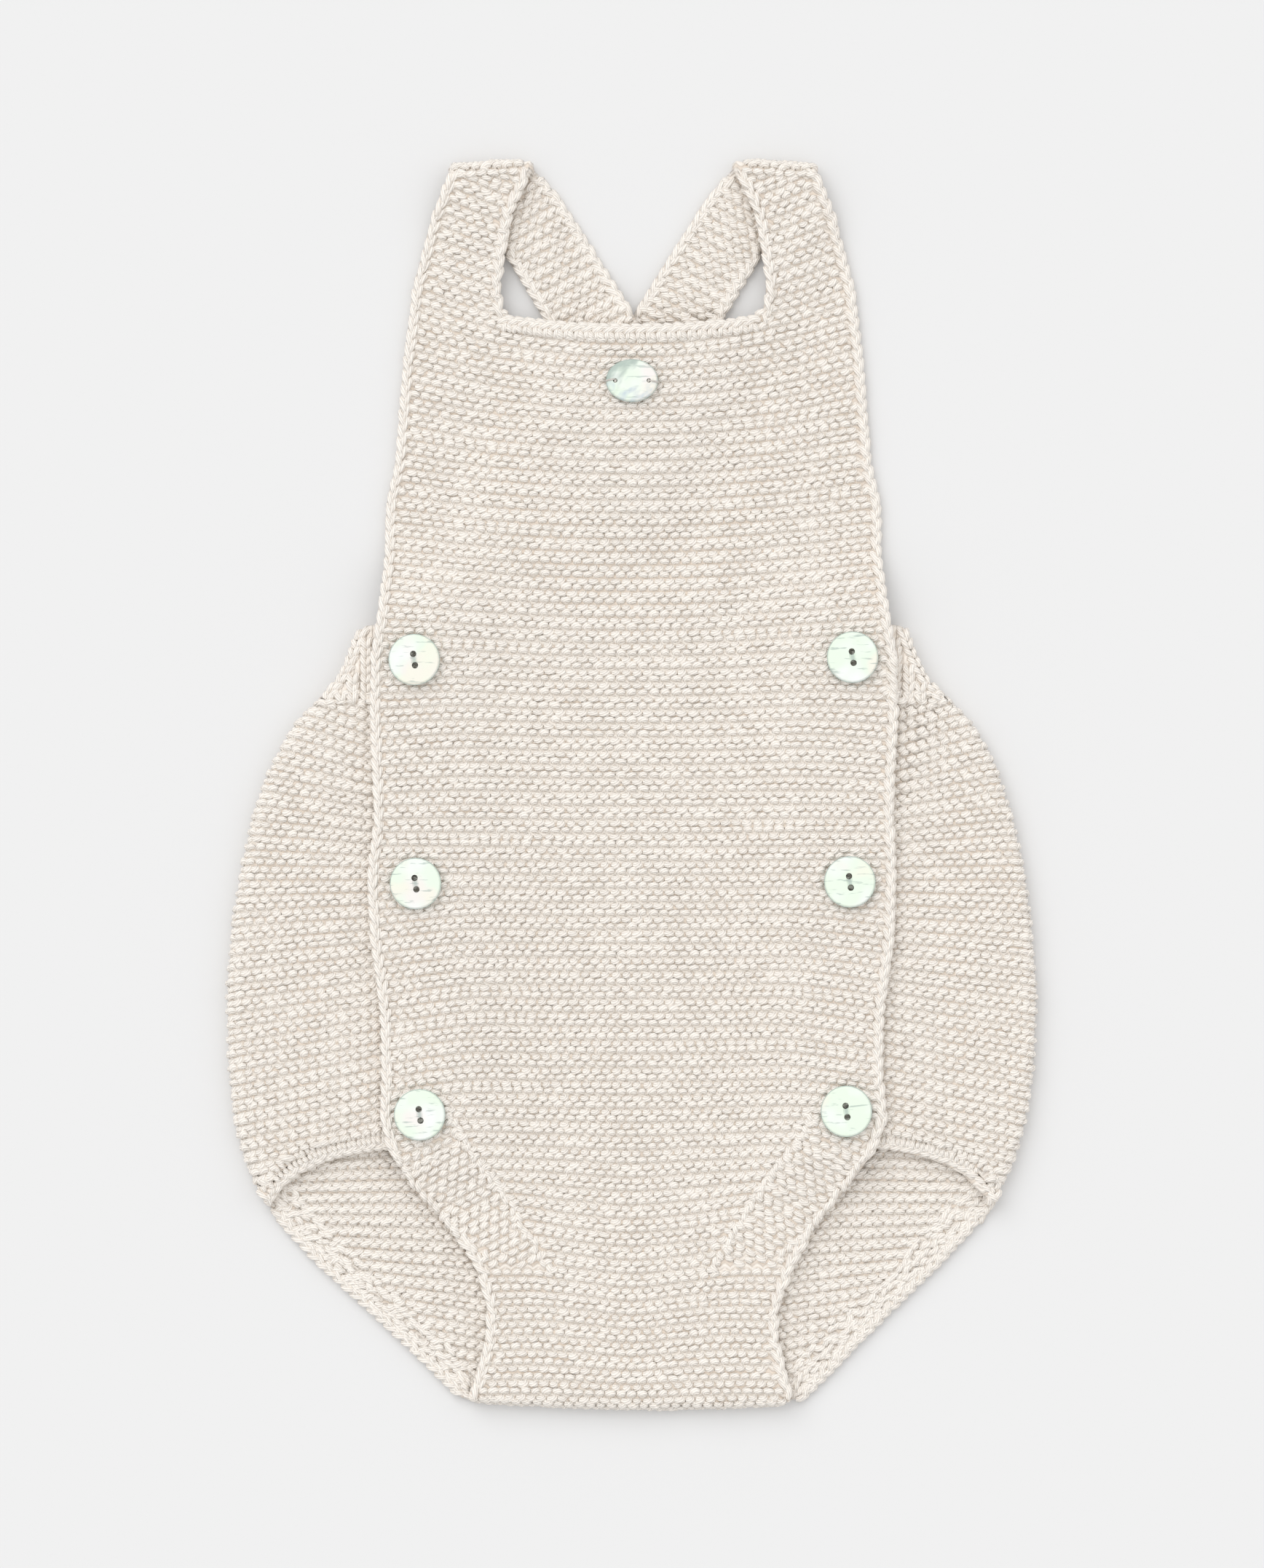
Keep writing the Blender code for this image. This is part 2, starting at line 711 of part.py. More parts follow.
def hole_cutter(name, radius, x, y):
    bpy.ops.mesh.primitive_cylinder_add(
        vertices=HOLE_SIDES, radius=radius, depth=4 * BUTTON_THICK, location=(x, y, 0.0))
    cutter = bpy.context.active_object
    cutter.name = name
    return cutter


def groove_cutter(name):
    """A long shallow scoop along the line of the holes."""
    bpy.ops.mesh.primitive_uv_sphere_add(segments=12, ring_count=6, radius=1.0)
    cutter = bpy.context.active_object
    cutter.name = name
    cutter.scale = (BUTTON_HOLE, BUTTON_HOLE_OFFSET + BUTTON_HOLE, GROOVE_DEPTH)
    cutter.rotation_euler = (0.0, 0.0, BUTTON_TILT)
    cutter.location = (0.0, 0.0, BUTTON_THICK / 2)
    return cutter


def finished_mesh(piece, name):
    """The piece with its modifiers applied, as a mesh that copies can share."""
    bpy.context.view_layer.update()
    graph = bpy.context.evaluated_depsgraph_get()
    mesh = bpy.data.meshes.new_from_object(piece.evaluated_get(graph))
    mesh.name = name
    cutters = [modifier.object for modifier in piece.modifiers if modifier.type == "BOOLEAN"]
    for used in cutters + [piece]:
        bpy.data.objects.remove(used)
    mesh.shade_smooth()
    mesh.set_sharp_from_angle(angle=math.radians(35))
    return mesh


def make_buttons(collection, cutters):
    blank = disc("button_blank", BUTTON_RADIUS, BUTTON_RADIUS, BUTTON_THICK, collection)
    for end in (-1, 1):
        x = -end * BUTTON_HOLE_OFFSET * math.sin(BUTTON_TILT)
        y = end * BUTTON_HOLE_OFFSET * math.cos(BUTTON_TILT)
        cut(blank, hole_cutter(f"button_hole_{end}", BUTTON_HOLE, x, y), cutters)
    cut(blank, groove_cutter("button_groove"), cutters)
    mesh = finished_mesh(blank, "button")
    mesh.materials.clear()
    for number, place in enumerate(BUTTONS):
        copy = mesh if number == 0 else mesh.copy()
        add_on_panel(place, copy, BUTTON_THICK, collection)


def make_tag(collection, cutters):
    blank = disc("tag_blank", TAG_HALF_WIDTH, TAG_HALF_HEIGHT, TAG_THICK, collection)
    for end in (-1, 1):
        cut(blank, hole_cutter(f"tag_hole_{end}", TAG_HOLE, end * TAG_HOLE_OFFSET, 0.0), cutters)
    mesh = finished_mesh(blank, "tag")
    mesh.materials.clear()
    add_on_panel(TAG, mesh, TAG_THICK, collection)


def add_on_panel(place, mesh, thickness, collection):
    """Set a disc just above the front panel."""
    x, y = place.x * MM, place.y * MM
    piece = add_object(place.name, mesh, shell_material(place.name + "_shell"), collection)
    piece.location = (x, y, front_height(x, y) + WALL + SIT_HEIGHT + thickness / 2)


# ---- the whole garment --------------------------------------------------------------

def clear_scene():
    for leftover in list(bpy.data.objects):
        bpy.data.objects.remove(leftover)


def main():
    clear_scene()
    garment = bpy.data.collections.new("knit_overalls")
    cutters = bpy.data.collections.new("cutters")
    for collection in (garment, cutters):
        bpy.context.scene.collection.children.link(collection)

    make_back_panel(knit_material("back_knit", KNIT_COLOUR), garment)
    make_waist_rib(knit_material("rib_knit", KNIT_COLOUR), garment)
    make_strap(RIGHT, "strap_right", knit_material("strap_right_knit", KNIT_COLOUR), garment)
    make_strap(LEFT, "strap_left", knit_material("strap_left_knit", KNIT_COLOUR), garment)
    make_front_panel(knit_material("front_knit", KNIT_COLOUR), garment)
    make_leg_border(LEFT, "leg_border_left", knit_material("border_left_knit", BORDER_COLOUR), garment)
    make_leg_border(RIGHT, "leg_border_right", knit_material("border_right_knit", BORDER_COLOUR), garment)
    make_buttons(garment, cutters)
    make_tag(garment, cutters)


main()
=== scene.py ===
"""Knit overalls laid flat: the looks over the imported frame.

The cloth is knit in garter stitch. Every ridge of the knit is a line of yarn loops, arched up
and arched down by turns, and one Geometry Nodes tree sweeps the yarn of each loop, of the
chains along the edges and of the waist ribs. Under the loops lies a thin cloth with the CAD
form. Lengths in the tables are millimetres from the middle of the outline on the table.
"""

import math

import bmesh
import bpy
import numpy as np
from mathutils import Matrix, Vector
from mathutils.bvhtree import BVHTree


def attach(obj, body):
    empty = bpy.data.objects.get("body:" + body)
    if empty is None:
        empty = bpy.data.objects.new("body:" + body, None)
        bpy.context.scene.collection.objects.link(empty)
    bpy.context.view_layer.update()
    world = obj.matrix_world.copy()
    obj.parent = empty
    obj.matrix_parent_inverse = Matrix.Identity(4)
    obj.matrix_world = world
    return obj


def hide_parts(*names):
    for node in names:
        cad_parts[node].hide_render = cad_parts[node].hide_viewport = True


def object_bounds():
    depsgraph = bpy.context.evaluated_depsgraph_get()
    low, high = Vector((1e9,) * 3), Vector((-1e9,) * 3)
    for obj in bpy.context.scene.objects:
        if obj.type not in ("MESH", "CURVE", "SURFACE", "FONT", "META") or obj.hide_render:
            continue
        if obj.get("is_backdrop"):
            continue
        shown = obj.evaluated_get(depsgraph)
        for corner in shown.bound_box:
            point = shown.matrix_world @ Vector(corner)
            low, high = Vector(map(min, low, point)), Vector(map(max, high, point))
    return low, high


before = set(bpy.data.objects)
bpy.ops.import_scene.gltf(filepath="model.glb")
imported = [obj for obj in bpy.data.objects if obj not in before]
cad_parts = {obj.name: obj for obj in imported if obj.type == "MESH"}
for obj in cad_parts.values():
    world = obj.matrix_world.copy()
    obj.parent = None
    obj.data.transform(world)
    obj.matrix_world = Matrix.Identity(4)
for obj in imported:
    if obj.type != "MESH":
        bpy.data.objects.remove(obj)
CAD_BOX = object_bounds()

bl_info = {
    "name": "Knit Overalls",
    "version": (1, 0, 0),
    "blender": (4, 5, 0),
    "location": "View3D > Sidebar > Overalls",
    "description": "Builds the knitted looks of a pair of baby overalls over their CAD frame",
    "category": "Add Mesh",
}

MM = 0.001
SIDES = (-1, 1)  # the wearer's right side lies at the left of the view
SIDE_NAME = {-1: "left", 1: "right"}

# outlines, the same as those of the part's source
FRONT_EDGE = (  # y, then how far the left and the right edge are from the middle
    (136.8, 65.0, 65.8),
    (124.7, 66.7, 67.4),
    (108.7, 68.0, 68.6),
    (93.0, 69.3, 69.9),
    (82.0, 71.8, 72.5),
    (66.0, 72.2, 72.7),
    (50.0, 74.0, 74.8),
    (38.0, 75.9, 76.8),
    (22.0, 76.3, 77.4),
    (5.5, 75.7, 76.5),
    (-9.5, 75.1, 76.0),
    (-27.0, 77.0, 76.8),
    (-45.5, 76.1, 76.0),
    (-66.5, 73.3, 73.2),
    (-84.0, 72.9, 72.8),
    (-97.0, 73.2, 74.1),
    (-106.0, 71.4, 71.2),
    (-116.0, 65.0, 64.6),
    (-130.0, 53.1, 53.5),
    (-141.0, 45.9, 47.2),
    (-152.0, 42.5, 43.1),
    (-161.0, 42.5, 42.5),
    (-171.0, 44.8, 44.6),
    (-181.0, 47.8, 47.4),
)
SEAT_OUTLINE = (
    (25.4, 90.8, 92.3),
    (18.3, 98.2, 99.2),
    (10.3, 103.1, 104.4),
    (2.3, 107.1, 107.8),
    (-8.3, 110.9, 111.3),
    (-24.3, 114.4, 115.0),
    (-40.2, 117.1, 117.1),
    (-61.5, 118.8, 118.7),
    (-82.8, 118.2, 117.9),
    (-98.7, 116.5, 115.6),
    (-109.4, 113.8, 112.6),
    (-120.0, 109.2, 107.6),
    (-130.7, 101.5, 99.6),
    (-141.3, 91.8, 89.6),
    (-151.9, 80.0, 78.6),
    (-162.6, 68.5, 67.8),
    (-173.2, 57.5, 57.4),
    (-183.0, 47.4, 47.6),
)
STRAP_OUTER = (  # y and distance from the middle, from the bib up to the fold
    (137.1, 65.0),
    (145.0, 64.0),
    (155.5, 61.2),
    (166.3, 58.2),
    (177.9, 53.6),
)
STRAP_INNER = ((137.1, 37.4), (145.0, 38.6), (155.5, 37.2), (166.8, 35.1), (179.5, 28.6))
STRAP_FOLD = ((51.6, 178.0), (30.2, 179.4))
STRAP_BACK_LINE = ((41.1, 182.7), (34.1, 170.0), (26.3, 158.6), (11.8, 135.2), (5.0, 124.0))
STRAP_BACK_OUTER = ((36.7, 154.1), (26.5, 137.2), (24.0, 133.0))
STRAP_BACK_INNER = ((26.0, 176.7), (22.2, 172.6), (15.8, 163.0), (5.1, 146.0), (1.0, 139.5))
HEM = (  # distance from the middle, y
    (54.0, -102.6),
    (66.0, -102.8),
    (75.0, -103.5),
    (84.0, -105.0),
    (92.0, -107.4),
    (99.0, -110.8),
    (104.0, -114.6),
    (106.0, -117.5),
)
HEM_CURL = ((103.6, -122.0), (102.6, -125.0), (100.6, -128.5))  # on down the leg
HEM_START, HEM_END = 64.0, 106.5  # where the hem's chain begins and ends, from the middle
UPRIGHTS, UPRIGHT_STEP = ((0.9, 0.45), (-1.4, 0.75)), 1.45  # how far below the hem, sink
LEG_TIP = ((48.4, -176.2), (49.4, -174.0))  # in the corner between the leg and the panel
RIGHT_SHIFT = 0.8
FAR, ABOVE = 125.0, 60.0  # beyond the garment's widest place, and over its top
NECK_Y, NECK_SAG, NECK_HALF, NECK_BAND = 136.8, 3.2, 37.8, 4.4
STRAP_START, STRAP_FOLD_Y, STRAP_ROOM, STRAP_STITCHES = 136.9, 178.8, 1.7, 10
CROTCH_Y, CROTCH_X, CROTCH_RISE, CROTCH_SPAN, CROTCH_REACH = -183.0, 6.0, 2.0, 50.0, 46.0
FOLD_RADIUS, FOLD_TURN = 3.3, 2.4  # stitches go 2.4 radians round a fold
FOLD_END_Y = -119.5
RIB_BOTTOM, RIB_TOP, RIB_CRESTS = 25.7, 46.3, (77.2, 81.2, 84.6)
SEAM_Y, SEAM_START, SEAM_END = 25.1, 74.2, 91.0  # the ridge along the waistband's lower edge

# how the ridges of the front lie: their height in the middle, then how far they rise at a
# third, at two thirds and at the whole of the way out to the edge
FRONT_RIDGES = (
    (180.0, 1.6, 6.5, 14.9),
    (134.0, 1.6, 6.5, 14.9),
    (103.0, 0.9, 3.5, 8.1),
    (78.0, 0.7, 2.6, 6.0),
    (52.0, 0.5, 2.0, 4.5),
    (27.0, 0.3, 1.3, 0.7),
    (14.0, 0.2, 0.9, -0.9),
    (1.0, 0.1, 0.6, -0.8),
    (-11.0, 0.1, 0.4, 0.3),
    (-24.0, 0.0, 0.3, 0.6),
    (-37.0, 0.0, 0.0, -3.0),
    (-62.0, 0.0, 0.1, -3.4),
    (-88.0, 0.1, 0.4, -3.2),
    (-101.0, 0.5, 1.5, 1.0),
    (-114.0, 1.3, 2.3, 2.5),
    (-126.0, 1.6, 4.3, 4.5),
    (-139.0, 1.4, 4.0, 4.5),
    (-152.0, 1.6, 3.0, 2.6),
    (-165.0, 1.2, 2.2, 1.6),
    (-183.0, 0.4, 0.7, 0.4),
)
FRONT_PITCH = (  # y, width of a stitch in the middle and halfway out
    (131.0, 2.96, 3.51),
    (118.0, 3.04, 3.30),
    (100.0, 3.26, 3.25),
    (40.0, 3.28, 3.28),
    (0.0, 3.30, 3.11),
    (-50.0, 3.20, 2.94),
    (-80.0, 3.09, 2.90),
    (-105.0, 3.05, 3.00),
    (-135.0, 3.22, 3.10),
    (-165.0, 3.13, 3.10),
)
EDGE_PITCH = 3.1
LAST_STITCH = 0.45  # how far the last stitch of a ridge stays from the chain, of a stitch
MOST_FIT = 0.03  # how much stitches are stretched or closed up to end there
CHAIN_ROOM, SOFT_ROOM = 2.4, 0.5  # what an edge with or without a chain takes from a ridge
LOOP_FLATNESS, LOOP_GAP, LOOP_SINK = 0.85, 0.42, 0.64
STRAND_LENGTH, STRAND_RISE, STRAND_DIP, CHAIN_LINK = 4.7, 0.25, 0.6, 3.95
CHAIN_STRANDS = (  # from the edge inwards, sink, roll outwards, slant, offset in links
    (1.75, 0.8, 0.1, 1, 0.0),
    (0.75, 0.95, 0.7, -1, 0.5),
)
BUTTED = (25.55, 136.95)  # heights at which one cloth is sewn to the next
FRONT_START, FRONT_END = -179.5, 179.0  # the lowest and the highest ridge
BIB_RIDGE, SEAT_RIDGE, SEAT_START = 3.79, 4.02, 26.0  # from ridge to ridge
BUTTON_TOP, TAG_TOP, TAG_MIDDLE = 12.1, 11.0, (0.1, 117.3)
TAG_HOLE, THREAD_MIDDLE = 4.85, 6.3  # how far from the tag's middle
THREAD_LOOP = (3.3, 0.0, 1.2, 0.55)  # length, rise, dip, thickness
MITRE = ((-99.4, 51.2), (-122.6, 36.6), (-143.9, 23.1))
MITRES_LOW, MITRES_HIGH, FAN_END = -146.0, -97.0, -107.0
MITRE_RIDGE, MITRE_END = 3.5, -147.3  # from ridge to ridge, and the first one below the mitres
SOFT_EDGE = (-108.0, -134.0)  # where the panel's edge beside a mitre has no chain
CHAIN_END = -178.6  # the lower end of the panel's chains
MITRE_SLOPE = ((-152.0, 0.0), (-147.0, 0.35), (-140.0, 0.55), (-104.0, 0.55), (-98.0, 0.1))
FLAP_TILT = (  # y, and how steeply the ridges of a flap climb outwards
    (25.0, 0.40),
    (16.0, 0.32),
    (3.4, 0.23),
    (-9.4, 0.12),
    (-22.0, 0.04),
    (-35.0, -0.05),
    (-48.0, -0.10),
    (-60.0, -0.14),
    (-73.0, -0.18),
    (-86.0, -0.22),
    (-120.0, -0.24),
)
FLAP_RIDGE, FLAP_MIDDLE, FLAP_START, FLAP_END, FLAP_INNER = 3.9, 90.0, -118.0, 34.0, 62.0
LEG_TILT = ((-110.0, -0.05), (-128.0, 0.02), (-137.0, 0.07), (-146.0, 0.13), (-156.0, 0.22))
LEG_RIDGE, LEG_MIDDLE, LEG_START, LEG_END, LEG_INNER = 3.5, 66.0, -186.0, -100.0, 38.0
LEG_BAND, LEG_BAND_ROWS, LEG_BAND_STEP = 8.0, (2.0, 3.1, 4.6, 6.2, 7.8), 1.9
LEG_LEVEL, LEG_LOW = 2.7, -181.5  # height over the table, and where a leg ends at the crotch
STRAP_BACK_TILT, STRAP_BACK_RIDGE, STITCH_REACH = 0.56, 3.45, 1.2
STRAP_BACK_LEVEL, STRAP_CROSSING = 4.4, 26.0  # they lie lower than this but for where they cross
CLOTH_NODES = (
    "front_panel",
    "back_panel",
    "waist_rib",
    "strap_left",
    "strap_right",
    "leg_border_left",
    "leg_border_right",
)


def size_property(name, description, default):
    """A length, with its default in millimetres."""
    return bpy.props.FloatProperty(
        name=name, description=description, default=default * MM, unit="LENGTH", precision=5
    )


def factor_property(name, description, default):
    return bpy.props.FloatProperty(
        name=name, description=description, default=default, subtype="FACTOR"
    )


class KnitSizes(bpy.types.PropertyGroup):
    yarn: size_property("Yarn", "Thickness of the yarn", 2.15)
    loop_width: factor_property("Loop width", "How wide a loop is, of a stitch", 0.63)
    loop_rise: size_property("Loop rise", "How high a loop arches", 0.8)
    loop_dip: size_property("Loop dip", "How far a loop's ends dive into the cloth", 1.8)
    strand: size_property("Strand", "Thickness of the strands of chains and ribs", 2.15)
    cloth_depth: size_property("Cloth depth", "How deep the cloth lies under the loops", 0.9)
    unevenness: factor_property("Unevenness", "How much the loops differ in size", 0.17)
    seed: bpy.props.IntProperty(name="Seed", description="Seed of the unevenness", default=7)


def linear(code):
    """The linear colour of a six-figure colour code."""
    parts = (int(code[i : i + 2], 16) / 255 for i in (0, 2, 4))
    return tuple(p / 12.92 if p <= 0.04045 else ((p + 0.055) / 1.055) ** 2.4 for p in parts)


def colour_property(name, description, code):
    return bpy.props.FloatVectorProperty(
        name=name, description=description, default=linear(code), subtype="COLOR", min=0.0, max=1.0
    )


class KnitColours(bpy.types.PropertyGroup):
    yarn: colour_property("Yarn", "Colour of the yarn where it stands out", "fff9f1")
    # painted shade: the yarn's colour where a loop dives deep into the knit
    shade: colour_property("Shade", "Colour of the yarn deep in the knit", "f3e7da")
    # painted shade: the darker colour of the cloth between and under the loops, where they shade it
    cloth: colour_property("Cloth", "Colour between the loops", "e5d8ca")


class ShellColours(bpy.types.PropertyGroup):
    pale: colour_property("Pale shell", "Colour of most of the shell", "f4f8f5")
    mint: colour_property("Mint", "Greenish sheen of the shell", "e9f6e5")
    rose: colour_property("Rose", "Pinkish sheen of the shell", "f5ece8")
    cream: colour_property("Cream", "Yellowish sheen of the shell", "f5f2e2")
    blue: colour_property("Blue", "Bluish sheen of the tag", "b9c9d9")
    # grey also paints the shade along the shell's rim and in its holes and channel
    grey: colour_property("Grey", "Colour of the streaks, the cuts and the tag's dark side", "a3b3ac")


class StageSettings(bpy.types.PropertyGroup):
    floor: colour_property("Floor", "Colour of the floor", "e7e7e7")
    key: factor_property("Key light", "Strength of the main light", 1.0)
    sky: factor_property("Sky", "Strength of the light from all round", 0.8)


def math_method(operation, swapped=False):
    """A method that adds a Math node for the wire and what it is reckoned with, or the other
    way round."""

    def method(self, *others):
        terms = (*others, self) if swapped else (self, *others)
        return self.graph.add("ShaderNodeMath", {"operation": operation}, dict(enumerate(terms)))

    return method


class Wire:
    """A socket that can be reckoned with: an expression on it adds Math nodes."""

    def __init__(self, graph, socket):
        self.graph, self.socket = graph, socket

    __add__, __radd__ = math_method("ADD"), math_method("ADD", True)
    __sub__, __rsub__ = math_method("SUBTRACT"), math_method("SUBTRACT", True)
    __mul__, __rmul__ = math_method("MULTIPLY"), math_method("MULTIPLY", True)
    __truediv__, __pow__ = math_method("DIVIDE"), math_method("POWER")
    __abs__, fraction = math_method("ABSOLUTE"), math_method("FRACT")
    sine, cosine = math_method("SINE"), math_method("COSINE")
    larger = math_method("MAXIMUM")

    def smooth(self, low, high):
        """0 below low and 1 above high, with a soft step between."""
        return self.graph.add(
            "ShaderNodeMapRange",
            {"interpolation_type": "SMOOTHSTEP"},
            {"Value": self, "From Min": low, "From Max": high},
        )


class Graph:
    """A node tree that is being built."""

    def __init__(self, tree):
        self.tree = tree

    def add(self, kind, settings=None, values=None, out=0):
        """Adds a node: its settings first, then the values or wires of its sockets."""
        node = self.tree.nodes.new(kind)
        for name, value in (settings or {}).items():
            setattr(node, name, value)
        for name, value in (values or {}).items():
            socket = node.inputs[name]
            if isinstance(value, Wire):
                self.tree.links.new(value.socket, socket)
            else:
                socket.default_value = value
        return Wire(self, node.outputs[out]) if len(node.outputs) else node

    def mix(self, factor, a, b):
        """Colour a where factor is 0 and b where it is 1."""
        values = {0: factor}
        for place, value in ((6, a), (7, b)):
            values[place] = value if isinstance(value, Wire) else (*value, 1.0)
        return self.add("ShaderNodeMix", {"data_type": "RGBA"}, values, 2)

    def place(self):
        """Where the shaded point is, in the object's own coordinates."""
        return self.add("ShaderNodeTexCoord", out="Object")

    def fact(self, name):
        """An attribute that the mesh keeps."""
        return self.add("ShaderNodeAttribute", {"attribute_name": name}, out="Fac")

    def noise(self, vector, scale, detail=2.0):
        values = {"Vector": vector, "Scale": scale, "Detail": detail}
        return self.add("ShaderNodeTexNoise", values=values)

    def join(self, x, y, z=0.0):
        return self.add("ShaderNodeCombineXYZ", values={0: x, 1: y, 2: z})

    def split(self, vector):
        first = self.add("ShaderNodeSeparateXYZ", values={0: vector})
        return [Wire(self, s) for s in first.socket.node.outputs]


def surface(name, base, roughness, bump, fixed):
    """A Principled material. base, roughness and bump are made by functions of its graph."""
    material = bpy.data.materials.new(name)
    material.use_nodes = True
    graph = Graph(material.node_tree)
    shader = material.node_tree.nodes["Principled BSDF"]
    for socket, value in fixed.items():
        shader.inputs[socket].default_value = value
    links = material.node_tree.links
    links.new(base(graph).socket, shader.inputs["Base Color"])
    links.new(roughness(graph).socket, shader.inputs["Roughness"])
    height, distance = bump
    values = {"Strength": 1.0, "Distance": distance, "Height": height(graph)}
    normal = graph.add("ShaderNodeBump", values=values)
    links.new(normal.socket, shader.inputs["Normal"])
    return material


def yarn_material(name):
    """Soft plied yarn: plies and fibres along the loop, painted highlights on the plies with painted
    shade between them, and painted shade where the loop dives deep into the knit.
    """
    paint = bpy.context.scene.knit_colours
    light, shade = tuple(paint.yarn), tuple(paint.shade)

    # the plies give bumps and roughness, and in the colour they are painted highlights on the plies
    # with painted shade in the grooves between them
    def plies(graph):
        along, around, _ = graph.split(graph.add("ShaderNodeUVMap", {"uv_map": "yarn"}))
        ply = ((around * 7.0 + along * 2.0) * math.pi).sine()
        fibre = graph.noise(graph.join(along * 2.0, around * 9.0 + along * 3.0), 3.0)
        return abs(ply) * 0.8 + fibre * 0.5

    def base(graph):
        depth = graph.fact("depth").smooth(0.3, 0.95)
        cloud = graph.noise(graph.place(), 60.0)
        # painted shade: the colour goes to the shade colour where the loop dives deep into the knit
        # (depth); tint and cloud are the yarn's own random tone
        tone = depth * 0.5 + plies(graph) * 0.95 + graph.fact("tint") * 0.15 + cloud * 0.1 - 0.42
        return graph.mix(tone.smooth(0.0, 1.0), shade, light)

    def roughness(graph):
        return plies(graph) * -0.08 + 0.95

    fixed = {"Sheen Weight": 0.25, "Sheen Roughness": 0.5, "Specular IOR Level": 0.2}
    return surface(name, base, roughness, (plies, 0.24 * MM), fixed)


def cloth_material(name):
    """The knit between and under the loops, with the stitches of the hidden side as bumps: ridges, or
    columns on the ribs. Its colour is painted shade between the loops, lighter on the hidden
    stitches."""
    paint = bpy.context.scene.knit_colours
    light, shade = tuple(paint.yarn), tuple(paint.cloth)
    rib, rib_stitch, stitch_width, ridge_height = 3.6 * MM, 2.6 * MM, 3.2 * MM, 4.0 * MM

    def stitches(graph):
        x, y, _ = graph.split(graph.place())
        if name.startswith("rib"):
            slant = abs((x / rib).fraction() - 0.5)
            leg = ((y / rib_stitch + slant * 1.6).fraction() - 0.5) * math.pi
            return (slant * 2.0 * math.pi).sine() ** 0.5 * 0.7 + leg.cosine() * 0.3
        across = x / stitch_width
        height = (y / ridge_height).fraction() - 0.5
        top = height - ((across.fraction() - 0.5) * math.pi).cosine() * 0.26
        bottom = height + (((across + 0.5).fraction() - 0.5) * math.pi).cosine() * 0.26
        return (1.0 - abs(top) * 4.6).larger(1.0 - abs(bottom) * 4.6).larger(0.0) ** 0.6

    def base(graph):
        # painted shade between the loops: the cloth colour, mixed lighter on the hidden stitches
        tone = stitches(graph) * 0.8 + graph.noise(graph.place(), 900.0) * 0.2
        return graph.mix(tone, shade, light)

    def roughness(graph):
        return stitches(graph) * -0.05 + 0.97

    fixed = {"Sheen Weight": 0.2, "Specular IOR Level": 0.2}
    return surface(name, base, roughness, (stitches, 0.5 * MM), fixed)


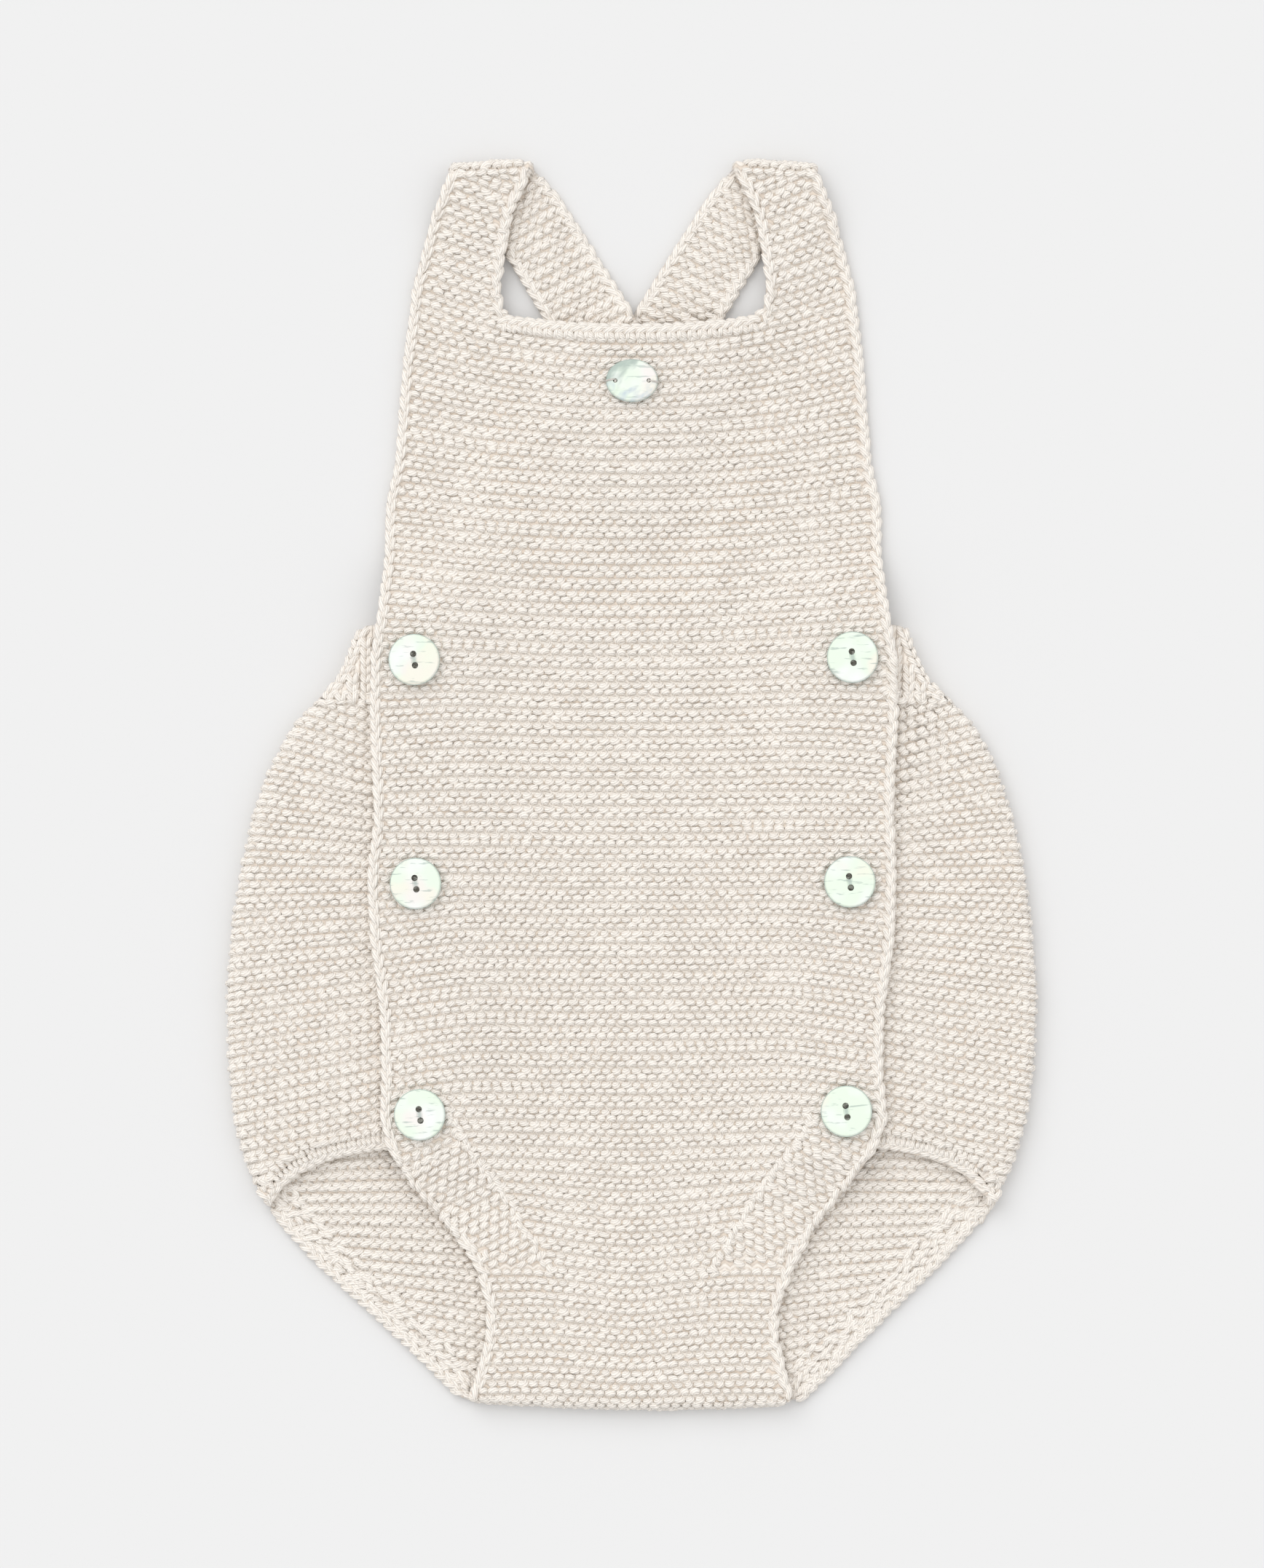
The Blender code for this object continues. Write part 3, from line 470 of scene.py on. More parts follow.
def loop_tree():
    """Geometry Nodes: a loop of yarn on every point, turned and sized by the point's own facts."""
    tree = bpy.data.node_groups.new("yarn_loops", "GeometryNodeTree")
    for kind, names in (
        ("Geometry", ("Loops",)),
        ("Float", ("Length", "Rise", "Dip", "Yarn", "Unevenness")),
        ("Int", ("Steps", "Sides", "Seed")),
        ("Material", ("Material",)),
    ):
        for name in names:
            tree.interface.new_socket(name, in_out="INPUT", socket_type="NodeSocket" + kind)
    tree.interface.new_socket("Yarn", in_out="OUTPUT", socket_type="NodeSocketGeometry")
    graph = Graph(tree)
    inputs = [Wire(graph, s) for s in graph.add("NodeGroupInput").socket.node.outputs[:10]]
    loops, length, rise, dip, yarn, unevenness, steps, sides, seed, material = inputs

    def store(geometry, domain, name, value):
        settings = {"data_type": "FLOAT", "domain": domain}
        values = {"Geometry": geometry, "Name": name, "Value": value}
        return graph.add("GeometryNodeStoreNamedAttribute", settings, values)

    def named(name):
        settings = {"data_type": "FLOAT_VECTOR"}
        return graph.add("GeometryNodeInputNamedAttribute", settings, {"Name": name})

    def chance(extra):
        low = graph.join(*[unevenness * -1.0] * 3)
        high = graph.join(*[unevenness] * 3)
        values = {0: low, 1: high, "Seed": seed + extra}
        return graph.add("FunctionNodeRandomValue", {"data_type": "FLOAT_VECTOR"}, values)

    # one loop along x: it bows to the side and its ends dive
    factor = graph.add("GeometryNodeSplineParameter")
    ends = (factor * 2.0 - 1.0) ** 2.0
    bow = 1.0 - ends ** 3.0
    line = graph.add("GeometryNodeCurvePrimitiveLine", values={"End": (1.0, 0.0, 0.0)})
    line = graph.add("GeometryNodeResampleCurve", values={"Curve": line, "Count": steps + 1})
    place = graph.join((factor - 0.5) * length, bow * rise, ends ** 3.0 * dip * -1.0)
    line = graph.add("GeometryNodeSetPosition", values={"Geometry": line, "Position": place})
    line = graph.add("GeometryNodeSetCurveNormal", {"mode": "Z_UP"}, {"Curve": line})
    values = {"Resolution": sides, "Radius": yarn * 0.5}
    section = graph.add("GeometryNodeCurvePrimitiveCircle", values=values)
    values = {"Curve": line, "Profile Curve": section, "Scale": 1.0 - ends * 0.3, "Fill Caps": True}
    tube = graph.add("GeometryNodeCurveToMesh", values=values)
    _, _, height = graph.split(graph.add("GeometryNodeInputPosition"))
    # depth of each point of the loop, which the yarn's colour uses to paint shade deep in the knit
    tube = store(tube, "POINT", "depth", 1.0 + (height - yarn * 0.5) / (dip + yarn))

    # the loop on every point
    turn = graph.add(
        "FunctionNodeAxesToRotation",
        {"primary_axis": "Z", "secondary_axis": "X"},
        {"Primary Axis": named("up"), "Secondary Axis": named("along")},
    )
    uneven = graph.add(
        "ShaderNodeVectorMath", {"operation": "ADD"}, {0: chance(0), 1: (1.0, 1.0, 1.0)}
    )
    scale = graph.add(
        "ShaderNodeVectorMath", {"operation": "MULTIPLY"}, {0: named("size"), 1: uneven}
    )
    values = {
        "Points": graph.add("GeometryNodeMeshToPoints", values={"Mesh": loops}),
        "Instance": tube,
        "Rotation": turn,
        "Scale": scale,
    }
    placed = graph.add("GeometryNodeInstanceOnPoints", values=values)
    values = {"Instances": placed, "Rotation": chance(1)}
    wobble = graph.add("GeometryNodeRotateInstances", values=values)
    tint = graph.add("FunctionNodeRandomValue", {"data_type": "FLOAT"}, {"Seed": seed + 2}, 1)
    tinted = store(wobble, "INSTANCE", "tint", tint)
    whole = graph.add("GeometryNodeRealizeInstances", values={"Geometry": tinted})
    values = {"Geometry": whole, "Material": material}
    graph.add("NodeGroupOutput", values={0: graph.add("GeometryNodeSetMaterial", values=values)})
    return tree


class Loops:
    """Places for loops of yarn: where each lies, how it runs and faces, and its sizes."""

    def __init__(self):
        self.rows = []

    def add(self, place, along, up, size=(1.0, 1.0, 1.0)):
        self.rows.append((*place, *along, *up, *size))

    def grow(self, name, slot, sizes, steps, sides, seed, unevenness):
        """The loops as one plain mesh, with its two UV maps. It rides on the body. sizes are a
        loop's length, rise and dip, and the thickness of its yarn."""
        data = np.array(self.rows, dtype=np.float32)
        mesh = bpy.data.meshes.new(name)
        mesh.vertices.add(len(data))
        mesh.vertices.foreach_set("co", (data[:, 0:3] * MM).ravel())
        for title, start in (("along", 3), ("up", 6), ("size", 9)):
            layer = mesh.attributes.new(title, "FLOAT_VECTOR", "POINT")
            layer.data.foreach_set("vector", data[:, start : start + 3].ravel())
        piece = bpy.data.objects.new(name, mesh)
        bpy.context.scene.collection.objects.link(piece)
        tree = bpy.data.node_groups.get("yarn_loops") or loop_tree()
        modifier = piece.modifiers.new("yarn_loops", "NODES")
        modifier.node_group = tree
        paint = "yarn_" + slot
        values = {title: size * MM for title, size in zip(("Length", "Rise", "Dip", "Yarn"), sizes)}
        values |= {
            "Unevenness": unevenness,
            "Steps": steps,
            "Sides": sides,
            "Seed": seed,
            "Material": bpy.data.materials.get(paint) or yarn_material(paint),
        }
        for socket in tree.interface.items_tree:
            if socket.in_out == "INPUT" and socket.name in values:
                modifier[socket.identifier] = values[socket.name]
        graph = bpy.context.evaluated_depsgraph_get()
        made = bpy.data.meshes.new_from_object(piece.evaluated_get(graph))
        piece.modifiers.remove(modifier)
        piece.data = made
        made.name = name
        bpy.data.meshes.remove(mesh)
        press(made)
        made.shade_smooth()
        map_yarn(made, len(data), steps, sides)
        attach(piece, "root")
        return piece


def press(mesh, soft=0.4 * MM):
    """Presses the lowest yarn flat against the table, so that none goes through it."""
    places = np.empty(len(mesh.vertices) * 3, dtype=np.float32)
    mesh.vertices.foreach_get("co", places)
    height = places[2::3]
    low = height < soft
    height[low] = soft * np.exp((height[low] - soft) / soft)
    mesh.vertices.foreach_set("co", places)


def map_yarn(mesh, count, steps, sides):
    """UV map yarn, along and around each loop, and UV map OFBake, a cell of its own for each."""
    corners = np.empty(len(mesh.loops), dtype=np.int32)
    mesh.loops.foreach_get("vertex_index", corners)
    each = len(corners) // count
    first = corners[:each]
    ring, spoke = first // sides, (first % sides).astype(float)
    cap = np.zeros(each, dtype=bool)
    start = 0
    for face in range(steps * sides + 2):
        total = mesh.polygons[face].loop_total
        part = slice(start, start + total)
        if total == 4 and len(set(ring[part])) == 2:
            if set(spoke[part]) == {0.0, sides - 1.0}:
                spoke[part] = np.where(spoke[part] == 0.0, sides, spoke[part])
        else:
            cap[part] = True
        start += total
    along, around = ring / steps, spoke / sides
    turn = np.arange(count)
    yarn = np.empty((count, each, 2), dtype=np.float32)
    yarn[:, :, 0] = along[None, :] + (turn * 7 % 23)[:, None]
    yarn[:, :, 1] = around[None, :]
    side = math.ceil(math.sqrt(count))
    angle = spoke / sides * 2 * math.pi
    cell_u = np.where(cap, 0.92 + 0.04 * np.cos(angle), 0.04 + 0.80 * along)
    cell_v = np.where(cap, 0.25 + 0.5 * along + 0.15 * np.sin(angle), 0.06 + 0.88 * around)
    bake = np.empty((count, each, 2), dtype=np.float32)
    bake[:, :, 0] = (cell_u[None, :] + (turn % side)[:, None]) / side
    bake[:, :, 1] = (cell_v[None, :] + (turn // side)[:, None]) / side
    for title, values in (("yarn", yarn), ("OFBake", bake)):
        layer = mesh.uv_layers.new(name=title)
        layer.data.foreach_set("uv", values.ravel())


class Cloth:
    """The faces of some CAD nodes, to lay loops on."""

    def __init__(self, *names):
        points, faces = [], []
        for name in names:
            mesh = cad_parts[name].data
            mesh.calc_loop_triangles()
            base = len(points)
            points += [v.co / MM for v in mesh.vertices]
            faces += [[base + i for i in t.vertices] for t in mesh.loop_triangles]
        self.tree = BVHTree.FromPolygons(points, faces)

    def height(self, x, y):
        hit = self.tree.ray_cast(Vector((x, y, ABOVE)), Vector((0.0, 0.0, -1.0)))[0]
        return hit.z if hit else None

    def up(self, x, y, z, reach=1.3, steepest=1.2):
        """The way that the upper face looks near (x, y)."""
        slope = []
        for dx, dy in ((reach, 0.0), (0.0, reach)):
            ends = [self.height(x + s * dx, y + s * dy) for s in SIDES]
            low, high = (z if e is None else min(max(e, z - steepest), z + steepest) for e in ends)
            slope.append((high - low) / (2 * reach))
        return Vector((-slope[0], -slope[1], 1.0)).normalized()

    def station(self, x, y):
        """A place on the cloth and the way it faces there, or None beside it."""
        z = self.height(x, y)
        return None if z is None else (Vector((x, y, z)), self.up(x, y, z))


def seen(x, y, cloth, everything, margin=3.0):
    """Whether the cloth is uppermost at (x, y) or within the margin of it."""
    for dx, dy in ((0, 0), (margin, 0), (-margin, 0), (0, margin), (0, -margin)):
        own, top = cloth.height(x + dx, y + dy), everything.height(x + dx, y + dy)
        if own is not None and own > top - 0.05:
            return True
    return False


def read(table, y, column=1):
    """A column of a table at height y, on straight lines between its rows."""
    rows = sorted((row[0], row[column]) for row in table)
    return float(np.interp(y, [r[0] for r in rows], [r[1] for r in rows]))


def across(table, side, y):
    """How far an outline is from the middle at height y, on one side."""
    if len(table[0]) > 2:
        return read(table, y, 1 if side < 0 else 2)
    return read(table, y) + shift(side)


def shift(side):
    return RIGHT_SHIFT if side > 0 else 0.0


def mirrored(side, points):
    return [(side * (x + shift(side)), y) for x, y in points]


def steps_along(path, step):
    """Points a step apart along a path, each with the way that the path runs there."""
    walk = 0.0
    for a, b in zip(path, path[1:]):
        a, b = Vector(a), Vector(b)
        run = (b - a).length
        while walk < run:
            yield a + (b - a) * (walk / run), (b - a) / run
            walk += step
        walk -= run


def outer_edge(side, y):
    return across(FRONT_EDGE if y < STRAP_START else STRAP_OUTER, side, y)


def neck(x):
    """Height of the neckline's edge."""
    return NECK_Y - NECK_SAG * max(0.0, 1 - (x / NECK_HALF) ** 2)


def outline_at(side, y, step=2.0):
    """A point of the seat's outline and the way out from it."""
    point = Vector((side * across(SEAT_OUTLINE, side, y), y))
    rise = across(SEAT_OUTLINE, side, y + step) - across(SEAT_OUTLINE, side, y - step)
    out = Vector((2 * step * side, -rise)).normalized()
    return point, out


def hem_point(side, x, below):
    """The point so far below a flap's hem, square to it, and the way there from the hem."""
    slope = (read(HEM, x + 1.0) - read(HEM, x - 1.0)) / 2
    down = Vector((side * slope, -1.0)).normalized()
    return Vector((side * x, read(HEM, x))) + down * below, down


def ridge_rise(station, share):
    """How far a ridge of the front rises above its middle, at a share of the way out: a smooth
    curve through the table's four knots."""
    knots = [0.0] + [read(FRONT_RIDGES, station, c) for c in (1, 2, 3)]
    place = min(share, 1.15) * 3
    i = min(int(place), 2)
    f = place - i
    p, q = knots[i], knots[i + 1]
    before = knots[i - 1] if i else q
    after = knots[i + 2] if i < 2 else 2 * knots[3] - knots[2]
    a, b = (q - before) / 2, (after - p) / 2
    return p + f * a + f * f * (3 * (q - p) - 2 * a - b) + f * f * f * (2 * (p - q) + a + b)


def mitre_line(station):
    """How far from the middle a ridge of the front turns down, if it does."""
    return read(MITRE, station) if MITRES_LOW < station < MITRES_HIGH else FAR


def front_height(station, side, x):
    """Height of a ridge of the front at distance x from the middle."""
    line = mitre_line(station)
    y = station + ridge_rise(station, min(x, line) / outer_edge(side, station))
    return y - (x - line) * read(MITRE_SLOPE, station) if x > line else y


def front_columns(station, side):
    """Distances of the stitches of a ridge from the middle, out to the edge's chain."""
    edge = outer_edge(side, station)
    for _ in range(8):  # a ridge climbs on its way out, so its edge is found step by step
        edge = outer_edge(side, front_height(station, side, edge))
    unchained = SOFT_EDGE[1] - 4.0 < front_height(station, side, edge) < SOFT_EDGE[0]
    last = edge - (SOFT_ROOM if unchained else CHAIN_ROOM)
    if station > NECK_Y - NECK_SAG:
        return [last - (k + LAST_STITCH) * EDGE_PITCH for k in range(STRAP_STITCHES - 1, -1, -1)]
    pitches = read(FRONT_PITCH, station, 1), read(FRONT_PITCH, station, 2), EDGE_PITCH
    places = [0.0]
    while places[-1] < last:
        places.append(places[-1] + float(np.interp(places[-1] / edge, (0.0, 0.5, 1.0), pitches)))
    if places[-1] - last > 0.5 * EDGE_PITCH:
        places.pop()
    if last - places[-1] > 0.6 * EDGE_PITCH:
        places.append(last)
    target = last - LAST_STITCH * EDGE_PITCH
    fit = target / places[-1] if places[-1] > last - EDGE_PITCH else 1.0
    fit = min(max(fit, 1.0 - MOST_FIT), 1.0 + MOST_FIT)
    return [p * fit for p in places if p * fit < last]


def stitch(loops, a, b):
    """The arched-up loop of a stitch at station a, and the arched-down one halfway to b."""
    run = (b[0] - a[0]).length
    along = (b[0] - a[0]) / run
    for way, share in ((1.0, 0.0), (-1.0, 0.5)):
        up = a[1].lerp(b[1], share).normalized()
        place = a[0].lerp(b[0], share) + up.cross(along) * (LOOP_GAP * way) - up * LOOP_SINK
        loops.add(place, along * way, up, (run / EDGE_PITCH, 1.0, LOOP_FLATNESS))


def ridge(loops, stations, side=1):
    """Stitches from station to station, where two follow each other, closed by an arch. The
    stations of the left side run outwards too, so they are taken the other way round."""
    stations = stations[::side]
    last = None
    for a, b in zip(stations, [*stations[1:], None]):
        if a and b and (b[0] - a[0]).length < 1.6 * EDGE_PITCH:
            stitch(loops, a, b)
            last = (b, (b[0] - a[0]).normalized())
        elif a and last and last[0] is a:
            place = a[0] + a[1].cross(last[1]) * LOOP_GAP - a[1] * LOOP_SINK
            loops.add(place, last[1], a[1], (1.0, 1.0, LOOP_FLATNESS))


def strand(loops, place, along, up, length, thick=1.0):
    loops.add(place, along, up, (length / STRAND_LENGTH, thick, thick))


def fold_station(start, out, turn):
    """A station on a fold that begins at start, turned so far round it. out is the way out."""
    flat = start + out * (FOLD_RADIUS * math.sin(turn))
    up = Vector((out.x * math.sin(turn), out.y * math.sin(turn), math.cos(turn)))
    return Vector((flat.x, flat.y, FOLD_RADIUS * (1 + math.cos(turn)))), up


def round_fold(start, out, way, lead):
    """Stations of a ridge that goes way, round a fold. lead is how far the first one lies
    beyond start."""
    beside = Vector((-out.y, out.x))
    stations, run = [], lead
    while way.dot(out) * run / FOLD_RADIUS < FOLD_TURN:
        turn = way.dot(out) * run / FOLD_RADIUS
        stations.append(fold_station(start + beside * (way.dot(beside) * run), out, turn))
        run += EDGE_PITCH
    return stations


def along_fold(path, out_turn, turns):
    """Ridges that run along a fold, one for each turn round it."""
    loops = Loops()
    steps = list(steps_along(path, EDGE_PITCH))
    for turn in turns:
        outs = (Vector((along.y, -along.x)) * out_turn for _, along in steps)
        ridge(loops, [fold_station(point, out, turn) for (point, _), out in zip(steps, outs)])
    return loops


def grow_ridges(loops, name):
    sizes = bpy.context.scene.knit_sizes
    width, rise, dip = sizes.loop_width * EDGE_PITCH, sizes.loop_rise / MM, sizes.loop_dip / MM
    loop = (width, rise, dip, sizes.yarn / MM)
    seed, unevenness = sizes.seed, sizes.unevenness
    return loops.grow(name, "knit", loop, steps=6, sides=5, seed=seed, unevenness=unevenness)


def grow_strands(loops, name, slot):
    sizes = bpy.context.scene.knit_sizes
    loop = (STRAND_LENGTH, STRAND_RISE, STRAND_DIP, sizes.strand / MM)
    return loops.grow(name, slot, loop, steps=5, sides=5, seed=sizes.seed, unevenness=0.1)


def front_stations():
    station = FRONT_START
    while station < FRONT_END:
        yield station
        station += SEAT_RIDGE if station < SEAT_START else BIB_RIDGE


def mitre_stations():
    """The ridges beyond the mitres, each with how far beyond its line it begins. They fan out
    at the top, where short ones lie between the others."""
    station = MITRES_HIGH - 0.2
    while station > MITRES_LOW:
        yield station, 0.0
        if station > FAN_END:
            yield station - MITRE_RIDGE / 2, 8.0
        station -= MITRE_RIDGE


def on_front(x, y, side):
    """Whether a stitch of the front has a place at (x, y): not in the neckline or beyond a fold."""
    if y < STRAP_START + 0.1:
        return abs(x) >= NECK_HALF or y <= neck(x) - NECK_BAND
    return abs(x) >= across(STRAP_INNER, side, y) + STRAP_ROOM and y < STRAP_FOLD_Y


def front_stitches():
    """Every ridge of the front and of the straps' fronts, by the height of its middle. Beyond
    the mitres the ridges are closer to each other and slope down to the edge."""
    strap = Cloth("strap_left", "strap_right")
    panel = Cloth("front_panel")
    ridges = []
    for station, beyond in [*((s, None) for s in front_stations()), *mitre_stations()]:
        loops = Loops()
        turn = mitre_line(station)
        for side in SIDES:
            stations = []
            for x in front_columns(station, side):
                y = front_height(station, side, x)
                if beyond is None:
                    inside = x < turn + EDGE_PITCH
                else:
                    inside = x > turn + beyond and y >= front_height(MITRE_END, side, x) + 2.6
                found = None
                if inside and on_front(side * x, y, side):
                    found = panel.station(side * x, y) or strap.station(side * x, y)
                stations.append(found)
            ridge(loops, stations, side)
        ridges.append((station, loops))
    return ridges


def crotch_path():
    """Where the front begins to turn round the crotch fold, from left to right."""
    path = []
    for x in np.arange(-CROTCH_REACH, CROTCH_REACH + 0.1, 2.0):
        rise = CROTCH_RISE * ((x - CROTCH_X) / CROTCH_SPAN) ** 2
        path.append((x, CROTCH_Y + rise + FOLD_RADIUS))
    return path


def decreases(loops):
    """The slanted double stitches where each ridge of the front turns at the mitres."""
    cloth = Cloth("front_panel")
    chance = np.random.default_rng(5)
    for station in np.arange(MITRES_HIGH - 1.5, MITRES_LOW + 1.0, -MITRE_RIDGE / 2):
        for side in SIDES:
            x = read(MITRE, station) + 1.0 + chance.uniform(-0.7, 0.7)
            place, up = cloth.station(side * x, front_height(station, side, x))
            way = Vector((side * chance.uniform(-0.5, 0.8), 1.0, 0.0))
            strand(loops, place - up * 0.7, way, up, 2.9, 1.05)


def gather(ridges, low, high):
    whole = Loops()
    for station, loops in ridges:
        if low <= station < high:
            whole.rows += loops.rows
    return whole


def flap_stitches(side, everything):
    """Ridges of one flap, which go on round the fold at its side."""
    loops = Loops()
    cloth = Cloth("back_panel")
    for station in np.arange(FLAP_START, FLAP_END, FLAP_RIDGE):
        tilt = read(FLAP_TILT, station)
        way = Vector((side, tilt)).normalized()
        stations = []
        for x in np.arange(FLAP_INNER, FAR, EDGE_PITCH * abs(way.x)):
            y = station + (x - FLAP_MIDDLE) * tilt
            place = Vector((side * x, y))
            point, out = outline_at(side, y)
            inset = (point - place).dot(out)
            if inset < FOLD_RADIUS:
                lead = (FOLD_RADIUS - inset) / way.dot(out)
                if FOLD_END_Y + 3.0 < y < RIB_BOTTOM - 1.0:
                    stations += round_fold(place - way * lead, out, way, lead)
                break
            inside = read(HEM, x) - 0.2 < y < RIB_BOTTOM - 2.0
            inside = inside and seen(side * x, y, cloth, everything)
            stations.append(cloth.station(side * x, y) if inside else None)
        ridge(loops, stations, side)
    columns = np.arange(SEAM_START, SEAM_END, EDGE_PITCH)
    ridge(loops, [everything.station(side * x, SEAM_Y) for x in columns], side)
    return loops


def leg_station(cloth, x, y):
    """A place on a leg opening's back layer, or at its height where its edge has ended."""
    return cloth.station(x, y) or (Vector((x, y, LEG_LEVEL)), Vector((0.0, 0.0, 1.0)))


def leg_stitches(side, everything):
    """Ridges of the back that show through one leg opening, and the finer ones along its edge."""
    loops = Loops()
    cloth = Cloth("back_panel")
    for station in np.arange(LEG_START, LEG_END, LEG_RIDGE):
        tilt = read(LEG_TILT, station)
        stations = []
        for x in np.arange(LEG_INNER, FAR, EDGE_PITCH):
            y = station + (x - LEG_MIDDLE) * tilt
            point, out = outline_at(side, y)
            if (point - Vector((side * x, y))).dot(out) < LEG_BAND:
                break
            inside = y < read(HEM, x) + 1.0 and seen(side * x, y, cloth, everything)
            stations.append(cloth.station(side * x, y) if inside else None)
        ridge(loops, stations, side)
    chance = np.random.default_rng(11 + side)
    for row, inset in enumerate(LEG_BAND_ROWS):
        y = FOLD_END_Y + 1.0 - 0.9 * (row % 2)
        while y > LEG_LOW:
            point, out = outline_at(side, y)
            p = point - out * (inset + chance.uniform(-0.35, 0.35))
            place, up = leg_station(cloth, p.x, p.y)
            if seen(p.x, p.y, cloth, everything) or inset < 4.0:
                angle = side * 0.5 + chance.uniform(-0.6, 0.6)
                way = Vector((math.cos(angle), math.sin(angle), 0.0)) * chance.choice((-1.0, 1.0))
                loops.add(place - up * 0.6, way, up, (1.1, 1.0, 0.75))
            y -= LEG_BAND_STEP * abs(out.x)
    return loops


def strap_back_stitches(side, everything):
    """Ridges of a strap's back part, from the fold down to the neckline."""
    loops = Loops()
    cloth = Cloth("strap_" + SIDE_NAME[side])
    lean = math.atan(STRAP_BACK_TILT)
    along = Vector((math.cos(lean), -side * math.sin(lean)))
    for middle, _ in steps_along(mirrored(side, STRAP_BACK_LINE), STRAP_BACK_RIDGE):
        stations = []
        for k in range(-5, 6):
            p = middle + along * (k * EDGE_PITCH)
            ends = (p + along * (s * STITCH_REACH) for s in SIDES)
            inside = all(cloth.height(*end) is not None for end in ends)
            inside = inside and p.y < FRONT_END and seen(*p, cloth, everything)
            found = cloth.station(*p) if inside else None
            if found and found[0].z > STRAP_BACK_LEVEL and abs(p.x) >= STRAP_CROSSING:
                found = None
            stations.append(found)
        ridge(loops, stations)
    return loops


def chain(loops, path, cloth, outward, link=CHAIN_LINK, lean=0.34):
    """Two strands of slanted links along an edge, the outer one rolled over it."""
    for p, along in steps_along(path, link):
        out = Vector((along.y, -along.x)) * outward
        for inset, sink, roll, way, ahead in CHAIN_STRANDS:
            q = p - out * inset + along * (ahead * link)
            z = cloth.height(*(q - out * 0.2))
            if z is None:
                continue
            run_way = (along * math.cos(lean) + out * (way * math.sin(lean))).to_3d()
            up = Vector((out.x * roll, out.y * roll, 1.0)).normalized()
            loops.add((q.x, q.y, z - sink), run_way, up, (link / CHAIN_LINK, 1.0, 1.0))


def front_edges(loops, cloth, side):
    """The chain down the outer edge of a strap and of the panel, to the crotch. Beside the
    mitre the edge has single strands instead."""
    edge = [(side * across(STRAP_OUTER, side, y), y) for y, _ in reversed(STRAP_OUTER)]
    edge += [(side * across(FRONT_EDGE, side, y), y) for y, _, _ in FRONT_EDGE]
    high, low, end = (
        (side * across(FRONT_EDGE, side, y), y) for y in (*SOFT_EDGE, CHAIN_END)
    )
    chain(loops, [*(p for p in edge if p[1] > SOFT_EDGE[0]), high], cloth, -side)
    soft_edge(loops, cloth, side)
    below = [low, *(p for p in edge if CHAIN_END < p[1] < SOFT_EDGE[1]), end]
    chain(loops, below, cloth, -side)


def soft_edge(loops, cloth, side):
    """Single slanted strands, scattered along the panel's edge where it has no chain, and on
    inwards below that, under the last ridges of the mitre."""
    chance = np.random.default_rng(21 + side)
    for y in np.arange(SOFT_EDGE[0], SOFT_EDGE[1] - 6.0, -2.0):
        y += chance.uniform(-0.6, 0.6)
        inwards = max(0.0, SOFT_EDGE[1] + 2.0 - y) * 0.7
        x = across(FRONT_EDGE, side, y) - chance.uniform(0.9, 1.7) - inwards
        found = cloth.station(side * x, y)
        if found:
            way = Vector((side * chance.uniform(0.1, 1.1), 1.0, 0.0))
            strand(loops, found[0] - found[1] * 0.6, way, found[1], 3.2)


def bind_off(loops, cloth):
    """The bound-off neckline: a chain along its edge and pairs of small slanted legs below."""
    xs = np.arange(-NECK_HALF + 0.6, NECK_HALF - 0.5, 1.0)
    chain(loops, [(x, neck(x)) for x in xs], cloth, -1, link=3.1)
    apart, spread, below, sink, length = 3.0, 0.62, 3.3, 0.45, 2.5
    for middle in np.arange(-NECK_HALF + 1.6, NECK_HALF - 1.0, apart):
        for way in SIDES:
            x, y = middle + spread * way, neck(middle) - below
            z = cloth.height(x, y)
            if z is not None:
                lean = (-0.5 * way, 1.0, 0.0)
                strand(loops, (x, y, z - sink), lean, (0.0, 0.0, 1.0), length)


def leg_border(loops, side):
    """Upright stitches and a chain along the flap's hem, and a twisted chain down the leg."""
    cloth = Cloth("leg_border_" + SIDE_NAME[side], "back_panel")
    hem = [hem_point(side, x, 3.5)[0] for x in np.arange(HEM_START, HEM_END, 2.0)]
    hem += [(side * x, y) for x, y in HEM_CURL]
    chain(loops, hem, cloth, side, link=2.9, lean=0.25)
    for x in np.arange(HEM_START + 1.0, HEM_END + 3.5, UPRIGHT_STEP):
        for below, sink in UPRIGHTS:
            place, down = hem_point(side, x, below)
            z = cloth.height(*(place + down * 0.9))
            if z is not None:
                along = (0.12 * side - down.x, -down.y, 0.0)
                strand(loops, (*place, z - sink), along, (0.0, 0.2, 1.0), 2.2, 0.85)
    leg = [outline_at(side, y)[0] for y in np.arange(FOLD_END_Y, LEG_LOW - 0.5, -2.0)]
    chain(loops, leg, cloth, -side, link=3.4, lean=0.55)
    for x, y in LEG_TIP:
        place, up = leg_station(cloth, side * x, y)
        strand(loops, place - up * 0.4, (side * 0.4, 1.0, 0.0), up, 3.4)


def rim(cloth, side, y):
    """How far a cloth reaches from the middle at height y."""
    x = FAR
    while x > 60.0 and cloth.height(side * x, y) is None:
        x -= 0.2
    return x


